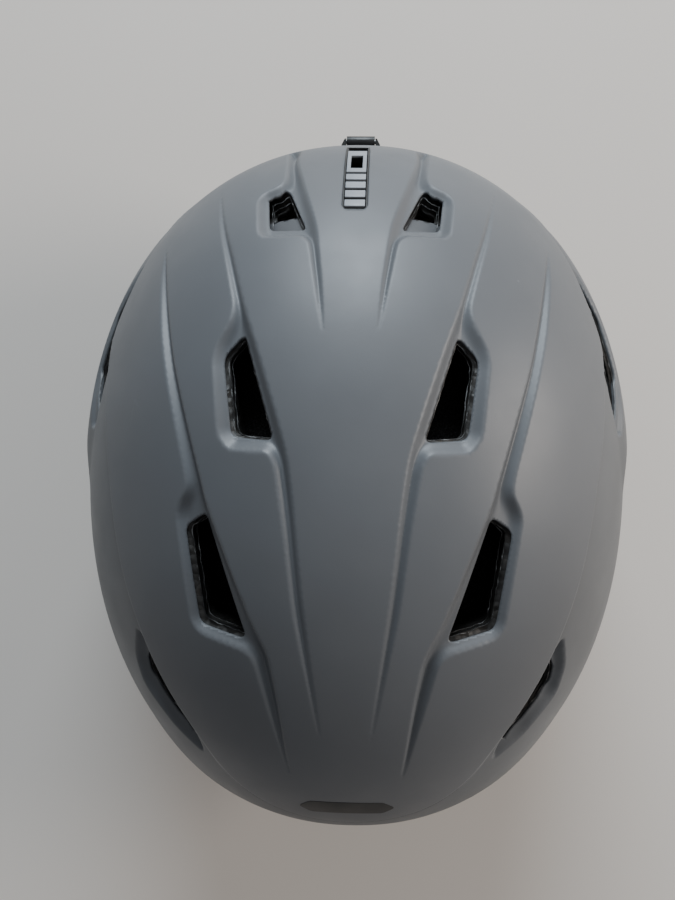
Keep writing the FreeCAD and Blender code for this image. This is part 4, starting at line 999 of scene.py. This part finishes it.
# ---- webbing and headband
def ribbon(name, path, across, wide, thick, materials, slot, body="helmet", replaces=(), blend=None, ribs=0.0,
           step=1.5, stitched=False):
    """A flat band along a path. wide is its width, or the widths at even shares of its length."""
    p = resampled(path, step, closed=False)
    widths = np.interp(np.linspace(0, 1, len(p)), np.linspace(0, 1, np.size(wide)), np.ravel(wide))
    along = unit(np.gradient(p, axis=0))
    width = np.broadcast_to(np.asarray(across, float), p.shape)
    width = unit(width - (width * along).sum(1, keepdims=True) * along)
    n = np.cross(along, width)
    share = np.array([-1, -0.94, -0.8, -0.4, 0, 0.4, 0.8, 0.94, 1])
    lift = np.array([0.35, 0.9, 1.0, 0.94, 0.92, 0.94, 1.0, 0.9, 0.35])
    edge_rib = ribs * np.array([0, 1, 1, 0, 0, 0, 1, 1, 0])
    u = np.concatenate([share, share[::-1]]) * widths[:, None] / 2
    v = np.concatenate([lift * thick / 2 + edge_rib, -lift[::-1] * thick / 2])
    rows = p[:, None] + u[..., None] * width[:, None] + v[None, :, None] * n[:, None]
    travel = np.broadcast_to((np.arange(len(p)) * step)[:, None], u.shape)
    cloth = np.stack([u, travel], axis=-1)
    build = Build()
    points, faces = loft(rows)
    build.add(points, faces, 0, cloth.reshape(-1, 2))
    build.cap(0, len(p), len(v))
    if stitched:
        for side in (-1, 1):
            line = p + width * side * (widths[:, None] / 2 - 1.6) + n * thick * 0.5
            build.stitches(line, n, 1, closed=False, pitch=2.6, long=1.7, radius=0.22)
    return build.finish(name, materials, body=body, slot=slot, replaces=replaces, blend=blend)


def ear_plane(y, z, depth, sign=1):
    """A point depth inside the ear pad's outer plane."""
    return (sign * (EAR_LOW_X + EAR_LEAN * z - depth), y, z)


WEB_Y, WEB_WIDE, WEB_THICK = -18.0, 16.0, 1.4
SIDE_WEB_WIDE = 14.0
SIDE_WEBS = {"front_strap": ((-32, 80), (-20, 9), 3.9), "rear_strap": ((30, 80), (-12, 11), 5.5)}
CHIN_WEB = [(86.5, 8.2), (80, 7.9), (74.5, 7.2), (68.5, 5.2), (62, 3.6), (54, 3.4), (31.6, 3.4), (23.6, 3.4)]
BAND_START, BAND_END, BAND_STOP = (-44.0, 81.0), (84.0, 20.0), 41.0
BAND_WIDE, BAND_THICK, BAND_RIB = 14.0, 1.5, 0.35
RACK_WIDE, RACK_RISE, DIAL_HEIGHT = 4.0, 5.2, 20.0


def build_webbing():
    """Side straps in the ear pads, the chin strap's two halves and its tail."""
    cloth = [WEBBING, THREAD]
    for side, sign in SIDES:
        for name, (top, bottom, depth) in SIDE_WEBS.items():
            path = [ear_plane(*top, depth, sign), ear_plane(*bottom, depth, sign)]
            lean = np.cross(unit(np.subtract(path[1], path[0])), (sign, 0, -EAR_LEAN))
            ribbon(f"{name}_web_{side}", path, lean, SIDE_WEB_WIDE, WEB_THICK, cloth, "webbing",
                   replaces=[f"{name}_{side}"])
    for side, sign in SIDES:
        path = spline([(sign * x, WEB_Y, z) for x, z in CHIN_WEB], 1.5, closed=False)
        blend = ("buckle_plug", (70, WEB_Y, 5), (27, WEB_Y, 3.4)) if side == "left" else None
        ribbon(f"chin_web_{side}", path, (0, 1, 0), WEB_WIDE, WEB_THICK, cloth, "webbing",
               replaces=[f"chin_strap_{side}"], blend=blend, stitched=True)
    tail = [(25.2, WEB_Y, 5.0), (32, WEB_Y, 4.95), (40, WEB_Y, 4.95), (47, WEB_Y, 4.9)]
    ribbon("tail_web", tail, (0, 1, 0), WEB_WIDE - 0.4, 1.3, cloth, "webbing", body="buckle_plug",
           replaces=["strap_tail"], stitched=True)


def band_path():
    """Centre line of the left headband: straight in side view, on a ring just inside the cavity."""
    points = []
    slope = (BAND_END[1] - BAND_START[1]) / (BAND_END[0] - BAND_START[0])
    for k in np.linspace(0, 1, 160):
        y = BAND_START[0] + (BAND_END[0] + 12 - BAND_START[0]) * k
        z = BAND_START[1] + slope * (y - BAND_START[0])
        level = math.sqrt(1 - ((z - EQUATOR) / BAND_RING.drop) ** 2)
        reach = BAND_RING.front if y < 0 else BAND_RING.rear
        inner = level**2 - (y / reach) ** 2
        x = BAND_RING.half_width * math.sqrt(max(inner, 0))
        if x < BAND_STOP:
            break
        points.append((x, y, z))
    return np.array(points)


def build_headbands():
    """Bands that narrow into their racks."""
    ring = band_path()
    widths = np.full(40, BAND_WIDE)
    widths[-4:] = np.linspace(BAND_WIDE, RACK_WIDE, 5)[1:]
    for side, sign in SIDES:
        level = DIAL_HEIGHT + sign * RACK_RISE
        neck = [(37.2, 87.6, DIAL_HEIGHT + sign * 0.5 * RACK_RISE), (34.0, 90.3, level - sign * 0.6),
                (31.0, 91.3, level), (30.4, 91.3, level)]
        path = spline(np.vstack([ring[::12], neck]), 1.5, closed=False) * (sign, 1, 1)
        ribbon(f"headband_strip_{side}", path, (0.0, 0.43, 0.9), widths, BAND_THICK, [BAND],
               "black_plastic", replaces=[f"headband_{side}"], ribs=BAND_RIB,
               blend=(f"{side}_rack", (sign * 78, 20, 50), (sign * 41, 83, 20)))


# ---- vent shutter and CAD pieces
PLATE_RADIUS = SLIDER_RADIUS - 2.72
DISH, SHUTTER_THICK, SHUTTER_BEVEL = 100.0, 1.5, 0.4


def build_shutter():
    """A dished plate that drops under the recessed vents, with a tongue to the slider."""
    build = Build()

    def sheet(xs, angles, drop):
        rows = []
        for a in np.radians(angles):
            dip = DISH - np.sqrt(DISH**2 - xs**2)
            r = PLATE_RADIUS - dip - drop * smooth_step(np.abs(xs), 9, 14)
            rows.append(np.stack([xs, SLIDER_Y + r * np.cos(a), SLIDER_Z + r * np.sin(a)], axis=1))
        centre = np.array([0, SLIDER_Y, SLIDER_Z])
        top = np.array(rows)
        away = top - centre
        away[..., 0] = 0
        low = top - unit(away) * SHUTTER_THICK
        build.add(*loft(top, wrap_columns=False))
        build.add(*loft(low, wrap_columns=False))
        for pair in ((top[0], low[0]), (top[-1], low[-1]), (top[:, 0], low[:, 0]), (top[:, -1], low[:, -1])):
            build.add(*loft(np.array(pair), wrap_columns=False))

    sheet(np.linspace(-35, 35, 71), np.linspace(50, 60, 21), 2.9)
    sheet(np.linspace(-2.6, 2.6, 7), np.linspace(41, 50, 12), 0.0)
    shutter = build.finish("shutter_plate", [SHUTTER], body="vent_slider", slot="grey_plastic",
                           replaces=["vent_shutter"], smooth=False)
    welded(shutter, PIECE_WELD)
    bevelled(shutter, SHUTTER_BEVEL, 30)


CAD_LOOKS = {
    "slider_knob": (GREY, 0.25), "slider_guide": (BLACK, 0.15), "slider_screw": (STEEL, 0.1),
    "clip_base": (BLACK, 0.3), "clip_arm": (BLACK, 0.3), "clip_pin": (STEEL, 0.1),
    "dial_housing": (BLACK, 0.5), "dial_cover": (BLACK, 0.6), "dial_knob": (BLACK, 0.35),
    "dial_pinion": (BLACK, 0.0), "dial_screw": (STEEL, 0.15), "housing_screws": (STEEL, 0.15),
    "rack_left": (BAND, 0.0), "rack_right": (BAND, 0.0), "cradle_webs": (BAND, 0.35),
    "liner_plugs": (BLACK, 0.3), "ear_studs": (BLACK, 0.3), "strap_anchors": (BLACK, 0.4),
    "strap_joint_left": (BLACK, 0.4), "strap_joint_right": (BLACK, 0.4),
    "buckle_socket": (BLACK, 0.5), "buckle_tongue": (BLACK, 0.5), "buckle_prongs": (BLACK, 0.3),
    "strap_keeper": (BLACK, 0.3), "hook_patches": (HOOKS, 0.0),
}


def dress_cad():
    """Detailed materials and softened edges for the pieces whose CAD shape is right."""
    for node, (material, width) in CAD_LOOKS.items():
        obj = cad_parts[node]
        obj.data.materials.clear()
        obj.data.materials.append(material)
        if width:
            welded(obj, CAD_WELD)
            bevelled(obj, width, 40)


# ---- camera, light and floor
FLOOR_REACH = 4000
CAMERA_LENS, CAMERA_PLACE, CAMERA_TURN = 43.44, (0.0114, 0.0089, 0.5744), (0.0055, 0.0409, 0.0162)
SKY_COLOUR, SKY_STRENGTH = (0.94, 0.96, 1.0, 1), 0.245


def build_stage():
    """Pale floor, soft window light from behind, warm light from the right, and the camera above."""
    s = Shader("floor_pale", (0.72, 0.67, 0.62), 0.6)
    build = Build()
    corners = [(x * FLOOR_REACH, y * FLOOR_REACH, 0) for x, y in ((-1, -1), (1, -1), (1, 1), (-1, 1))]
    build.add(corners, [(0, 1, 2, 3)])
    build.finish("floor", [s.material], body=None, smooth=False)

    camera_data = bpy.data.cameras.new("camera")
    camera_data.lens = CAMERA_LENS
    camera_data.sensor_width = 36.0
    camera_data.clip_start = 0.01
    camera = bpy.data.objects.new("camera", camera_data)
    bpy.context.scene.collection.objects.link(camera)
    x, y, z = (Matrix.Rotation(angle, 3, axis) for angle, axis in zip(CAMERA_TURN, "XYZ"))
    camera.matrix_world = Matrix.Translation(CAMERA_PLACE) @ (z @ y @ x).to_4x4()
    bpy.context.scene.camera = camera

    world = bpy.data.worlds.new("studio")
    bpy.context.scene.world = world
    world.use_nodes = True
    background = world.node_tree.nodes["Background"]
    background.inputs["Color"].default_value = SKY_COLOUR
    background.inputs["Strength"].default_value = SKY_STRENGTH

    def area(name, location, target, size, power, colour):
        light_data = bpy.data.lights.new(name, "AREA")
        light_data.shape = "DISK"
        light_data.size = size
        light_data.energy = power
        light_data.color = colour
        light = bpy.data.objects.new(name, light_data)
        bpy.context.scene.collection.objects.link(light)
        light.location = location
        light.rotation_euler = (Vector(target) - Vector(location)).to_track_quat("-Z", "Y").to_euler()

    area("window", (0.0, 1.6, 0.9), (0, 0, 0.12), 1.0, 39, (0.82, 0.92, 1.0))
    area("warm_side", (1.5, 0.30, 0.75), (0, 0, 0.1), 0.8, 20, (1.0, 0.92, 0.84))


build_stage()
build_shells()
build_badge()
build_liner()
build_trim()
build_cavity_pads()
build_ear_pads()
build_nape_and_chin_pads()
build_webbing()
build_headbands()
build_shutter()
dress_cad()
